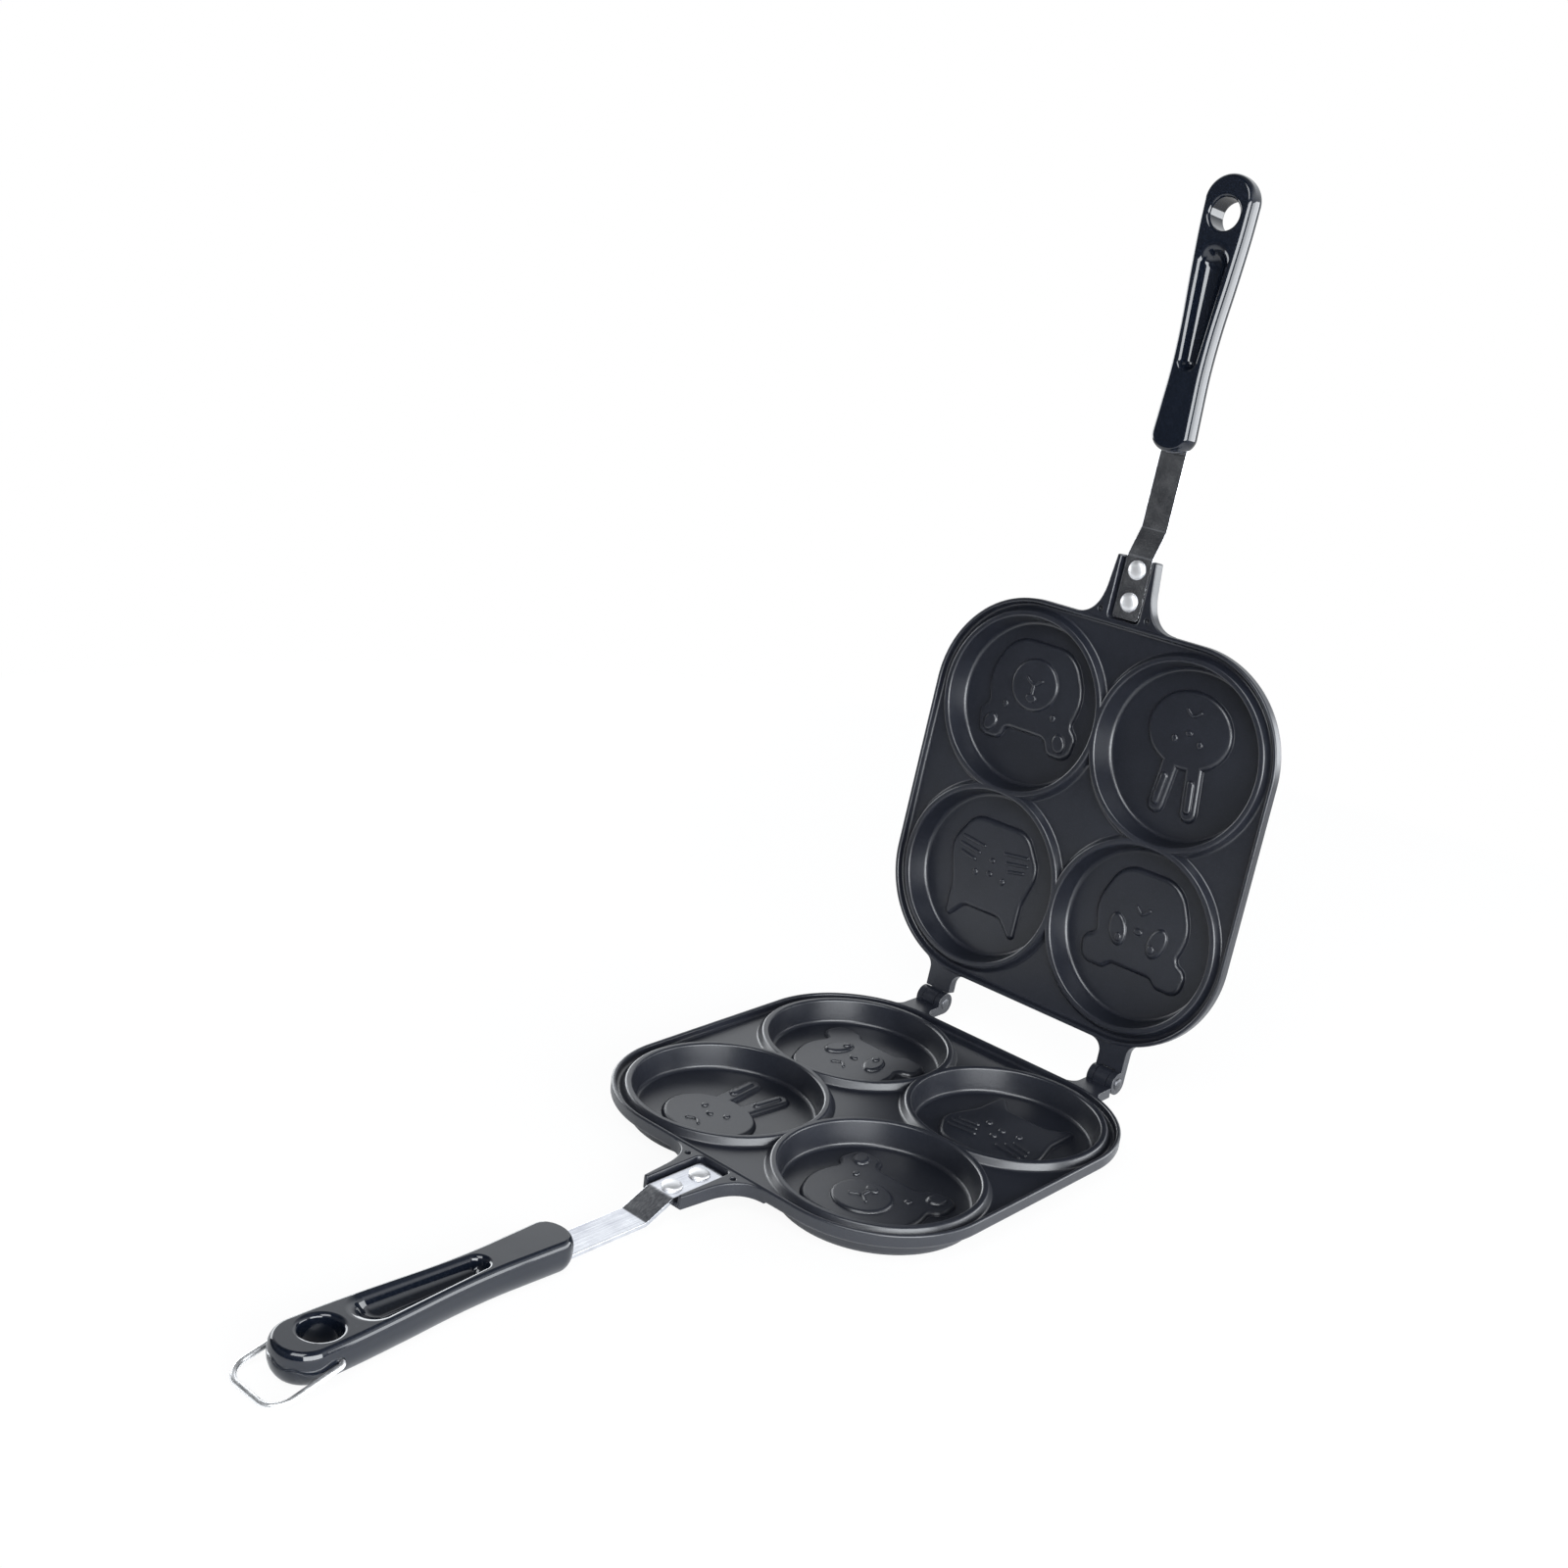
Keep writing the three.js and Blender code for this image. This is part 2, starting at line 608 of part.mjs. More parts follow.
// The origin is on the grip's underside; the screw points up into the tang
function gripScrew() {
  const headTop = SCREW_SUNK + SCREW_HEAD_HEIGHT;
  return turned([
    [0, SCREW_SUNK],
    [SCREW_HEAD_RADIUS, SCREW_SUNK],
    [SCREW_RADIUS, headTop],
    [SCREW_RADIUS, screwTip()],
    [0, screwTip()],
  ], SMALL_SIDES);
}

// Height of the screw's tip above the grip's underside
function screwTip() {
  return GRIP_DEPTH + GRIP_DROP + TANG_TOP + SCREW_BITE;
}

// The grip, drawn from its front end, with its inner face at z = 0

// Half-width along the grip, as shares of its length and of its greatest half-width
const GRIP_SIDE_SHARES = [
  [0.065, 0.8],
  [0.17, 0.75],
  [0.3, 0.7],
  [0.45, 0.74],
  [0.62, 0.87],
  [0.78, 0.97],
];

// Height above the underside and inset, as shares of the depth and the half-width
const GRIP_LAYER_SHARES = [
  [0, 0.5],
  [0.06, 0.32],
  [0.2, 0.14],
  [0.42, 0.02],
  [0.68, 0],
  [0.86, 0.04],
  [0.95, 0.1],
  [1, 0.2],
];

function gripOutline() {
  const side = GRIP_SIDE_SHARES.map(([along, wide]) => (
    new THREE.Vector2(wide * GRIP_HALF_WIDTH, -along * GRIP_LENGTH)
  ));
  const tipCentre = -(GRIP_LENGTH - GRIP_HALF_WIDTH);
  const mirrored = side.map((p) => new THREE.Vector2(-p.x, p.y));
  const front = side[0];
  const shape = new THREE.Shape();
  shape.moveTo(front.x, front.y);
  shape.bezierCurveTo(front.x, front.y / 3, front.x / 2, 0, 0, 0);
  shape.bezierCurveTo(-front.x / 2, 0, -front.x, front.y / 3, -front.x, front.y);
  shape.splineThru([...mirrored.slice(1), new THREE.Vector2(-GRIP_HALF_WIDTH, tipCentre)]);
  shape.absarc(0, tipCentre, GRIP_HALF_WIDTH, Math.PI, Math.PI * 2);
  shape.splineThru(side.slice().reverse());
  return shape.getSpacedPoints(GRIP_POINTS).slice(0, -1);
}

// The finger recess: a slot between a narrow and a wide end, with sloping walls
function recess() {
  const narrow = -(RECESS_START + RECESS_NARROW_RADIUS);
  const wide = -(RECESS_END - RECESS_WIDE_RADIUS);
  const shape = new THREE.Shape();
  shape.absarc(0, narrow, RECESS_NARROW_RADIUS, 0, Math.PI);
  shape.absarc(0, wide, RECESS_WIDE_RADIUS, Math.PI, Math.PI * 2);
  const mouth = shape.getPoints(CORNER_ARC_STEPS).slice(0, -1);
  return stacked([
    { z: -RECESS_DEPTH, points: inset(mouth, RECESS_SLOPE) },
    { z: 0, points: mouth },
    { z: OVERRUN, points: mouth },
  ]);
}

function hangHole() {
  const mouth = HANG_HOLE_RADIUS + HANG_HOLE_FLARE;
  return turnedAt([
    [0, -GRIP_DEPTH - OVERRUN],
    [mouth, -GRIP_DEPTH - OVERRUN],
    [mouth, -GRIP_DEPTH],
    [HANG_HOLE_RADIUS, -GRIP_DEPTH + HANG_HOLE_FLARE],
    [HANG_HOLE_RADIUS, -HANG_HOLE_FLARE],
    [mouth, 0],
    [mouth, OVERRUN],
    [0, OVERRUN],
  ], HOLE_SIDES, 0, -HANG_HOLE);
}

function tangPocket() {
  const top = TANG_TOP + GRIP_DROP + CLEARANCE;
  const bottom = TANG_TOP + GRIP_DROP - STRAP_THICKNESS - CLEARANCE;
  const wide = STRAP_WIDTH / 2 + CLEARANCE;
  const narrow = TANG_WIDTH / 2 + CLEARANCE;
  return joined(
    box(-wide, wide, -TANG_SHOULDER_IN - CLEARANCE, OVERRUN, bottom, top),
    box(-narrow, narrow, -TANG_LENGTH - CLEARANCE, 0, bottom, top),
  );
}

function screwSeat() {
  const base = -GRIP_DEPTH;
  const headRadius = SCREW_HEAD_RADIUS + CLEARANCE;
  const radius = SCREW_RADIUS + CLEARANCE;
  const tip = base + screwTip() + CLEARANCE;
  return turnedAt([
    [0, base - OVERRUN],
    [headRadius, base - OVERRUN],
    [headRadius, base + SCREW_SUNK + CLEARANCE],
    [radius, base + SCREW_SUNK + SCREW_HEAD_HEIGHT + CLEARANCE],
    [radius, tip],
    [0, tip],
  ], SMALL_SIDES, 0, -SCREW_FROM_FRONT);
}

function loopSockets() {
  const radius = WIRE_RADIUS + CLEARANCE;
  const inner = GRIP_HALF_WIDTH - LOOP_PIN_DEPTH - CLEARANCE;
  const outer = GRIP_HALF_WIDTH + OVERRUN;
  return [[inner, outer], [-outer, -inner]].map(([x0, x1]) => (
    turnedAlongX([[0, x0], [radius, x0], [radius, x1], [0, x1]], SMALL_SIDES, 0)
      .translate(0, -HANG_HOLE, -LOOP_PIVOT_DROP)
  ));
}

function grip(sockets) {
  const outline = gripOutline();
  const body = stacked(GRIP_LAYER_SHARES.map(([height, inwards]) => ({
    z: (height - 1) * GRIP_DEPTH,
    points: inset(outline, inwards * GRIP_HALF_WIDTH),
  })));
  return geometryOf(cut(body, hangHole(), recess(), tangPocket(), screwSeat(), ...sockets));
}

// The lock loop, drawn flat round its pivot line

function lockLoop() {
  const half = LOOP_HALF_WIDTH;
  const pinEnd = GRIP_HALF_WIDTH - LOOP_PIN_DEPTH;
  const bend = LOOP_HALF_WIDTH - GRIP_HALF_WIDTH;
  const at = (x, y) => new THREE.Vector3(x, y, 0);
  const path = new THREE.CurvePath();
  const corner = (a, b, c) => path.add(new THREE.QuadraticBezierCurve3(a, b, c));
  const line = (a, b) => path.add(new THREE.LineCurve3(a, b));
  line(at(pinEnd, 0), at(half - bend, 0));
  corner(at(half - bend, 0), at(half, 0), at(half, -bend));
  line(at(half, -bend), at(half, LOOP_CORNER - LOOP_REACH));
  corner(at(half, LOOP_CORNER - LOOP_REACH), at(half, -LOOP_REACH), at(half - LOOP_CORNER, -LOOP_REACH));
  line(at(half - LOOP_CORNER, -LOOP_REACH), at(LOOP_CORNER - half, -LOOP_REACH));
  corner(at(LOOP_CORNER - half, -LOOP_REACH), at(-half, -LOOP_REACH), at(-half, LOOP_CORNER - LOOP_REACH));
  line(at(-half, LOOP_CORNER - LOOP_REACH), at(-half, -bend));
  corner(at(-half, -bend), at(-half, 0), at(bend - half, 0));
  line(at(bend - half, 0), at(-pinEnd, 0));

  const section = new THREE.Shape();
  section.absarc(0, 0, WIRE_RADIUS, 0, Math.PI * 2);
  const geometry = new THREE.ExtrudeGeometry(section, {
    steps: WIRE_STEPS,
    extrudePath: path,
    curveSegments: WIRE_ARC_STEPS,
  });
  return geometryOf(solid(geometry));
}

// The whole pan

function half(name, sockets) {
  const group = new THREE.Group();
  group.add(piece(`${name}_plate`, casting(), coating));
  group.add(piece(`${name}_strap`, strap(), steel));

  ['front', 'rear'].forEach((place, i) => {
    const mesh = piece(`${name}_${place}_rivet`, rivet(), aluminium);
    mesh.position.set(0, RIVETS[i], -STRAP_DROP);
    group.add(mesh);
  });

  const pin = piece(`${name}_hinge_pin`, hingePin(), zincedSteel);
  pin.position.set(-ARM_SPREAD, 0, 0);
  group.add(pin);

  const handle = new THREE.Group();
  handle.position.set(0, GRIP_FRONT, -GRIP_DROP);
  handle.add(piece(`${name}_grip`, grip(sockets), phenolic));
  const screw = piece(`${name}_grip_screw`, gripScrew(), zincedSteel);
  screw.position.set(0, -SCREW_FROM_FRONT, -GRIP_DEPTH);
  handle.add(screw);
  group.add(handle);
  return group;
}

const lower = half('lower', loopSockets());
const loop = piece('lock_loop', lockLoop(), chrome);
loop.position.set(0, GRIP_FRONT - HANG_HOLE, LOOP_Z);
loop.rotation.x = LOOP_DROOP;
lower.add(loop);

const upper = half('upper', []);
upper.rotation.set(-OPEN_ANGLE, Math.PI, 0);

// The pan stands on its four lower bowls, with the middle of its footprint at the origin
const pan = new THREE.Group();
pan.add(lower, upper);
const extent = new THREE.Box3().setFromObject(pan, true);
const middle = extent.getCenter(new THREE.Vector3());
pan.position.set(-middle.x, -middle.y, -extent.min.z);

const group = new THREE.Group();
group.add(pan);

export default group;
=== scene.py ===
import json
import math

import bmesh
import bpy
from mathutils import Matrix, Vector


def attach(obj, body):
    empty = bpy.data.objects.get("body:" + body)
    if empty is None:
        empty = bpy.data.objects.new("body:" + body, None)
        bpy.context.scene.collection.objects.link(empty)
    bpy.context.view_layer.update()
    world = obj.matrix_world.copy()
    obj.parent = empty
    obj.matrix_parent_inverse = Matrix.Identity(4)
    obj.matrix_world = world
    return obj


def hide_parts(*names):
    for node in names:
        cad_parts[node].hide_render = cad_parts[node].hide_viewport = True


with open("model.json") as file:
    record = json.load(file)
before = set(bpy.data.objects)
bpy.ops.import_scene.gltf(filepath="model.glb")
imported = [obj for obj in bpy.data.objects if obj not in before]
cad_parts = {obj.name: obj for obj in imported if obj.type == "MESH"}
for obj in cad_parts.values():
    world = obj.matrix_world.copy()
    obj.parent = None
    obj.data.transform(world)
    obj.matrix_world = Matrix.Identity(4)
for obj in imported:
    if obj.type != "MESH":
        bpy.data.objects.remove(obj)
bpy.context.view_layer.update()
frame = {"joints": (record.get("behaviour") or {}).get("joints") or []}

# The camera. It stands to the right of the lower handle, a little above the open pan,
# and looks down over the lower half towards the hinge.
FOCAL_PIXELS = 2029
FRAME_PIXELS = 1600
PRINCIPAL_PIXEL = (839.3, 739.7)
SENSOR_MM = 36
STANDPOINT = (0.4920, -0.5921, 0.4244)
AHEAD = (-0.6143, 0.7389, -0.2768)
TO_THE_RIGHT = (0.7395, 0.6615, 0.1246)

scene = bpy.context.scene
scene.view_settings.view_transform = "Standard"
camera = bpy.data.objects.new("camera", bpy.data.cameras.new("camera"))
scene.collection.objects.link(camera)
scene.camera = camera
camera.data.sensor_width = SENSOR_MM
camera.data.lens = FOCAL_PIXELS / FRAME_PIXELS * SENSOR_MM
camera.data.shift_x = 0.5 - PRINCIPAL_PIXEL[0] / FRAME_PIXELS
camera.data.shift_y = PRINCIPAL_PIXEL[1] / FRAME_PIXELS - 0.5
ahead = Vector(AHEAD).normalized()
right = Vector(TO_THE_RIGHT)
right = (right - ahead * right.dot(ahead)).normalized()
up = right.cross(ahead)
pose = Matrix((right, up, -ahead)).transposed().to_4x4()
pose.translation = STANDPOINT
camera.matrix_world = pose

# The two halves. Both are drawn in millimetres in the frame of their own casting: the
# hinge axis is X, the handle runs towards -Y, and the castings meet in the plane z = 0.
# The upper half is the lower one turned over and swung open.
MM = 0.001
hinge = next(joint for joint in frame["joints"] if joint["name"] == "pan_hinge")
AT_HINGE = Matrix.Translation(hinge["pos_m"])
OPEN_ANGLE = math.radians(hinge["range_deg"][1])
TURNED_OVER = Matrix.Rotation(-OPEN_ANGLE, 4, "X") @ Matrix.Rotation(math.pi, 4, "Y")
HALVES = {
    "lower": AT_HINGE @ Matrix.Scale(MM, 4),
    "upper": AT_HINGE @ TURNED_OVER @ Matrix.Scale(MM, 4),
}

# Castings. Each half is one die casting in aluminium with four ring moulds, a low rim,
# two hinge arms, a bracket for the strap and an animal's face on each floor. It is shot
# blasted and sprayed with a satin black non-stick coating.
RING_RADIUS = 45.0
LIP_WIDTH = 2.8
LIP_ROUND = 1.15
LIP_OUTER = RING_RADIUS + LIP_WIDTH / 2
LIP_INNER = RING_RADIUS - LIP_WIDTH / 2
PARTING = -0.15
CAVITY_DEPTH = 12.0
FLOOR_TOP = PARTING - CAVITY_DEPTH
FLOOR_THICKNESS = 3.6
FLOOR_RADIUS = 41.4
FLOOR_FILLET = 2.2
TABLE = FLOOR_TOP - FLOOR_THICKNESS
FOOT_RADIUS = 44.0
FOOT_ROUND = 6.0
RING_FLARE = 2.0
GROOVE_WIDTH = 4.3
GROOVE_DEPTH = 3.75
GROOVE_FILLET = 1.4
LAND_THICKNESS = 2.6
LAND_TOP = PARTING - GROOVE_DEPTH
LAND_BOTTOM = LAND_TOP - LAND_THICKNESS
BOWL_NECK = LIP_OUTER + RING_FLARE - 0.8
BOWL_EDGE = LIP_OUTER + GROOVE_WIDTH - 0.4
BOWL_FILLET = 1.2
RIM_WIDTH = 2.0
RIM_DRAFT = 0.2
RIM_ROUND = 0.95
EDGE_ROUND = 1.8
CORNER_RADIUS = LIP_OUTER + GROOVE_WIDTH + RIM_WIDTH
EDGE_TO_AXIS = 16.6
NEAR_ROW = -(EDGE_TO_AXIS + CORNER_RADIUS)
FAR_ROW = NEAR_ROW - 2 * RING_RADIUS
FAR_EDGE = FAR_ROW - CORNER_RADIUS
SECTION_END = 20.0
RING_SIDES = 160
HOLE_SIDES = 40
CORNER_STEPS = 40
OVERRUN = 2.0
SEAM = 0.02
WELD = 1e-5


def new_object(name, vertices, faces, edges=()):
    mesh = bpy.data.meshes.new(name)
    mesh.from_pydata(vertices, edges, faces)
    shape = bpy.data.objects.new(name, mesh)
    scene.collection.objects.link(shape)
    return shape


def facing_outwards(shape):
    body = bmesh.new()
    body.from_mesh(shape.data)
    bmesh.ops.remove_doubles(body, verts=body.verts, dist=WELD)
    bmesh.ops.recalc_face_normals(body, faces=body.faces)
    body.to_mesh(shape.data)
    body.free()
    return shape


def lofted(name, rings):
    """Skins closed rings of equal counts, one after another; a ring of one point is a pole."""
    vertices = []
    starts = []
    for ring in rings:
        starts.append(len(vertices))
        vertices += ring
    faces = []
    for (a, first), (b, second) in zip(zip(starts, rings), zip(starts[1:], rings[1:])):
        count = max(len(first), len(second))
        for i in range(count):
            j = (i + 1) % count
            if len(first) == 1:
                faces.append((a, b + j, b + i))
            elif len(second) == 1:
                faces.append((a + i, a + j, b))
            else:
                faces.append((a + i, a + j, b + j, b + i))
    for start, ring in ((starts[0], rings[0]), (starts[-1], rings[-1])):
        if len(ring) > 1:
            faces.append([start + i for i in range(len(ring))])
    return facing_outwards(new_object(name, vertices, faces))


def filleted(corners, closed=False, turn_per_step=math.radians(12)):
    """Rounds the corners of a line of (a, b, radius) and returns its points."""
    points = []
    count = len(corners)
    for i, (a, b, radius) in enumerate(corners):
        here = Vector((a, b))
        if radius == 0 or (not closed and i in (0, count - 1)):
            points.append(here)
            continue
        before = (Vector(corners[i - 1][:2]) - here).normalized()
        after = (Vector(corners[(i + 1) % count][:2]) - here).normalized()
        opening = before.angle(after)
        centre = here + (before + after).normalized() * radius / math.sin(opening / 2)
        start = here + before * radius / math.tan(opening / 2) - centre
        turn = math.pi - opening
        side = math.copysign(1, before.x * after.y - before.y * after.x)
        steps = max(2, math.ceil(turn / turn_per_step))
        for k in range(steps + 1):
            points.append(centre + Matrix.Rotation(-side * turn * k / steps, 2) @ start)
    return points


def arc(centre, radius, first, last, steps):
    """Points on a circle from one angle to another, with both ends."""
    angles = [first + (last - first) * k / steps for k in range(steps + 1)]
    return [(centre[0] + radius * math.cos(a), centre[1] + radius * math.sin(a)) for a in angles]


def circle(centre, radius, sides):
    return arc(centre, radius, 0, 2 * math.pi, sides)[:-1]


def quarter(steps):
    """A quarter of a circle of radius 1."""
    return arc((0, 0), 1, 0, math.pi / 2, steps)


def turned(name, profile, sides, centre=(0, 0)):
    """Revolves points of (radius, z) about an upright axis; the ends lie on the axis."""
    rings = []
    for radius, z in profile:
        ring = [centre] if radius < WELD else circle(centre, radius, sides)
        rings.append([(x, y, z) for x, y in ring])
    return lofted(name, rings)


def stepped(name, outline_at, section):
    """Skins the outlines that a section of (inwards, z) points cuts out."""
    return lofted(name, [[(x, y, z) for x, y in outline_at(inwards)] for inwards, z in section])


def inset(outline, distance):
    """Moves a closed counter-clockwise outline inwards along its normals."""
    moved = []
    for i, point in enumerate(outline):
        before = Vector(outline[i - 1])
        after = Vector(outline[(i + 1) % len(outline)])
        along = (after - before).normalized()
        moved.append((point[0] - along.y * distance, point[1] + along.x * distance))
    return moved


def upright(name, outline, bottom, top):
    return stepped(name, lambda inwards: outline, [(0, bottom), (0, top)])


def swept(name, profile, half_width, centre=0.0):
    """A side profile of (y, z) points carried across from one side to the other."""
    sides = (centre - half_width, centre + half_width)
    return lofted(name, [[(x, y, z) for y, z in profile] for x in sides])


def block(name, low, high):
    corners = [(low[0], low[1]), (high[0], low[1]), (high[0], high[1]), (low[0], high[1])]
    return upright(name, corners, low[2], high[2])


def evaluated(shape):
    """Turns an object's modifiers into its mesh."""
    graph = bpy.context.evaluated_depsgraph_get()
    mesh = bpy.data.meshes.new_from_object(shape.evaluated_get(graph))
    shape.modifiers.clear()
    shape.data = mesh
    return shape


def combined(base, operation, tools):
    """Joins, cuts or intersects a solid with others, which are used up."""
    for tool in tools:
        step = base.modifiers.new("step", "BOOLEAN")
        step.operation = operation
        step.solver = "MANIFOLD"
        step.object = tool
    evaluated(base)
    for tool in tools:
        bpy.data.objects.remove(tool)
    return base


def bevelled(shape, width, segments=3, limit=math.radians(40)):
    edge = shape.modifiers.new("edge", "BEVEL")
    edge.width = width
    edge.segments = segments
    edge.limit_method = "ANGLE"
    edge.angle_limit = limit
    return evaluated(shape)


def smoothed(shape, sharp=math.radians(32)):
    """Smooth faces that keep their creases, with the broad flats left flat."""
    shape.data.polygons.foreach_set("use_smooth", [True] * len(shape.data.polygons))
    shape.data.set_sharp_from_angle(angle=sharp)
    weights = shape.modifiers.new("normals", "WEIGHTED_NORMAL")
    weights.keep_sharp = True
    return evaluated(shape)


def placed(shape, name, matrix):
    """A copy of a piece in its place in the pan, with the place in its mesh."""
    copy = bpy.data.objects.new(name, shape.data.copy())
    scene.collection.objects.link(copy)
    copy.data.transform(matrix)
    return copy


def plate_outline(inwards):
    corners = [
        (RING_RADIUS, NEAR_ROW),
        (-RING_RADIUS, NEAR_ROW),
        (-RING_RADIUS, FAR_ROW),
        (RING_RADIUS, FAR_ROW),
    ]
    outline = []
    for k, corner in enumerate(corners):
        first = math.pi / 2 * k
        outline += arc(corner, CORNER_RADIUS - inwards, first, first + math.pi / 2, CORNER_STEPS)
    return outline


def plate_blank():
    section = filleted([
        (SECTION_END, LAND_BOTTOM, 0),
        (0.0, LAND_BOTTOM, EDGE_ROUND),
        (0.0, PARTING, RIM_ROUND),
        (SECTION_END, PARTING, 0),
    ])
    return stepped("blank", plate_outline, section)


def dish():
    """What is cleared away inside the rim, down to the land."""
    section = filleted([
        (SECTION_END, LAND_TOP, 0),
        (RIM_WIDTH + RIM_DRAFT, LAND_TOP, GROOVE_FILLET),
        (RIM_WIDTH, PARTING, RIM_ROUND),
        (RIM_WIDTH / 2, PARTING, 0),
        (RIM_WIDTH / 2, PARTING + OVERRUN, 0),
    ])
    return stepped("dish", plate_outline, section)


def bowl(centre):
    profile = filleted([
        (0.0, TABLE, 0),
        (FOOT_RADIUS, TABLE, FOOT_ROUND),
        (BOWL_NECK, LAND_BOTTOM, BOWL_FILLET),
        (BOWL_EDGE, LAND_BOTTOM, 0),
        (BOWL_EDGE, LAND_TOP, 0),
        (LIP_OUTER + RING_FLARE, LAND_TOP, GROOVE_FILLET),
        (LIP_OUTER, PARTING, LIP_ROUND),
        (0.0, PARTING, 0),
    ])
    return turned("bowl", profile, RING_SIDES, centre)


def cavity(centre):
    profile = filleted([
        (0.0, FLOOR_TOP, 0),
        (FLOOR_RADIUS, FLOOR_TOP, FLOOR_FILLET),
        (LIP_INNER, PARTING, LIP_ROUND),
        (RING_RADIUS, PARTING, 0),
        (RING_RADIUS, PARTING + OVERRUN, 0),
        (0.0, PARTING + OVERRUN, 0),
    ])
    return turned("cavity", profile, RING_SIDES, centre)


# The hinge arms: one has a slot, the other a tongue with a heel that stops the lid.
ARM_SPREAD = 53.0
ARM_WIDTH = 14.6
ARM_DROP = 0.6
ARM_EDGE = 0.8
ARM_ROOT_FILLET = 6.0
ARM_ROOT_STEPS = 12
ARM_ROOT_DEPTH = 5.0
ARM_CLEARANCE = 0.3
BARREL_RADIUS = 5.5
BARREL_STEPS = 28
TONGUE_WIDTH = 7.2
HEEL_REACH = 7.6
HEEL_BACK = 1.5
HEEL_EDGE = 0.6
PIN_RADIUS = 2.0


def arm_plan(centre, root):
    """From above: filleted to the plate's straight edge inside, run into its corner outside."""
    half = ARM_WIDTH / 2
    flared = half + ARM_ROOT_FILLET
    across = abs(centre) + flared - RING_RADIUS
    along = math.sqrt((CORNER_RADIUS + ARM_ROOT_FILLET) ** 2 - across ** 2)
    touching = math.atan2(along, across) + math.pi
    fillets = (
        (-flared, ARM_ROOT_FILLET - EDGE_TO_AXIS, -math.pi / 2, 0.0),
        (flared, NEAR_ROW + along, math.pi, touching),
    )
    plan = [(-flared, root)]
    for x, y, first, last in fillets:
        plan += arc((x, y), ARM_ROOT_FILLET, first, last, ARM_ROOT_STEPS)
        if x < 0:
            plan += [(-half, BARREL_RADIUS + OVERRUN), (half, BARREL_RADIUS + OVERRUN)]
    plan.append((half, root))
    outward = math.copysign(1, centre)
    return [(centre + outward * x, y) for x, y in plan]


def hinge_arm(centre):
    root = -(EDGE_TO_AXIS + ARM_ROOT_DEPTH)
    last = math.pi - math.asin(ARM_DROP / BARREL_RADIUS)
    profile = [(root, -BARREL_RADIUS)]
    profile += arc((0, 0), BARREL_RADIUS, -math.pi / 2, last, BARREL_STEPS)
    profile[-1] = (profile[-1][0], -ARM_DROP)
    profile.append((root, -ARM_DROP))
    body = swept("arm", profile, ARM_WIDTH / 2 + ARM_ROOT_FILLET + OVERRUN, centre)
    reach = BARREL_RADIUS + OVERRUN
    from_above = upright("plan", arm_plan(centre, root), -reach, reach)
    return bevelled(combined(body, "INTERSECT", [from_above]), ARM_EDGE)


def pin_hole(centre):
    radius = PIN_RADIUS + ARM_CLEARANCE
    half = ARM_WIDTH
    profile = [(0, -half), (radius, -half), (radius, half), (0, half)]
    hole = turned("hole", profile, HOLE_SIDES)
    hole.data.transform(Matrix.Translation((centre, 0, 0)) @ Matrix.Rotation(math.pi / 2, 4, "Y"))
    return hole


def clevis(centre):
    half = TONGUE_WIDTH / 2 + ARM_CLEARANCE
    end = BARREL_RADIUS + ARM_CLEARANCE
    reach = BARREL_RADIUS + OVERRUN
    slot = block("slot", (centre - half, -end, -reach), (centre + half, reach, reach))
    return combined(hinge_arm(centre), "DIFFERENCE", [slot, pin_hole(centre)])


def tongue(centre):
    half = TONGUE_WIDTH / 2
    end = BARREL_RADIUS + ARM_CLEARANCE
    reach = BARREL_RADIUS + OVERRUN
    outer = ARM_WIDTH / 2 + OVERRUN
    corner = Matrix.Rotation(OPEN_ANGLE, 4, "X") @ Vector((0, -end, -BARREL_RADIUS))
    stop = -corner.z - ARM_CLEARANCE
    cheeks = [
        block("cheek", (centre - outer, -end, -reach), (centre - half, reach, reach)),
        block("cheek", (centre + half, -end, -reach), (centre + outer, reach, reach)),
    ]
    body = combined(hinge_arm(centre), "DIFFERENCE", cheeks)
    heel = block("heel", (centre - half, 0, -HEEL_BACK), (centre + half, HEEL_REACH, stop))
    combined(body, "UNION", [bevelled(heel, HEEL_EDGE)])
    return combined(body, "DIFFERENCE", [pin_hole(centre)])


# The bracket: two ribs on the far edge, with a floor between them for the strap.
BRACKET_LENGTH = 31.6
BRACKET_OVERLAP = 5.0
BRACKET_ROOT_HALF = 28.0
BRACKET_FLARE_HALF = 14.5
BRACKET_FLARE_STEPS = 24
BRACKET_NECK_HALF = 12.6
BRACKET_NECK_AT = 17.0
BRACKET_DROP = 0.6
BRACKET_EDGE = 0.75
RIB_TIP = 2.2
TROUGH_HALF = 8.9
TROUGH_CORNER = 2.6
TROUGH_START = FAR_EDGE - 0.85
TROUGH_FLOOR_TOP = -5.2
TROUGH_FLOOR_BOTTOM = -7.0
PIT_SPREAD = 13.3
PIT_AT = FAR_EDGE - 4.0
PIT_RADIUS = 1.3
PIT_DEPTH = 2.0
PIT_FILLET = 0.5
PIT_LIP_ROUND = 0.4
PIT_MOUTH = PIT_RADIUS + 0.8
PIT_SIDES = 32


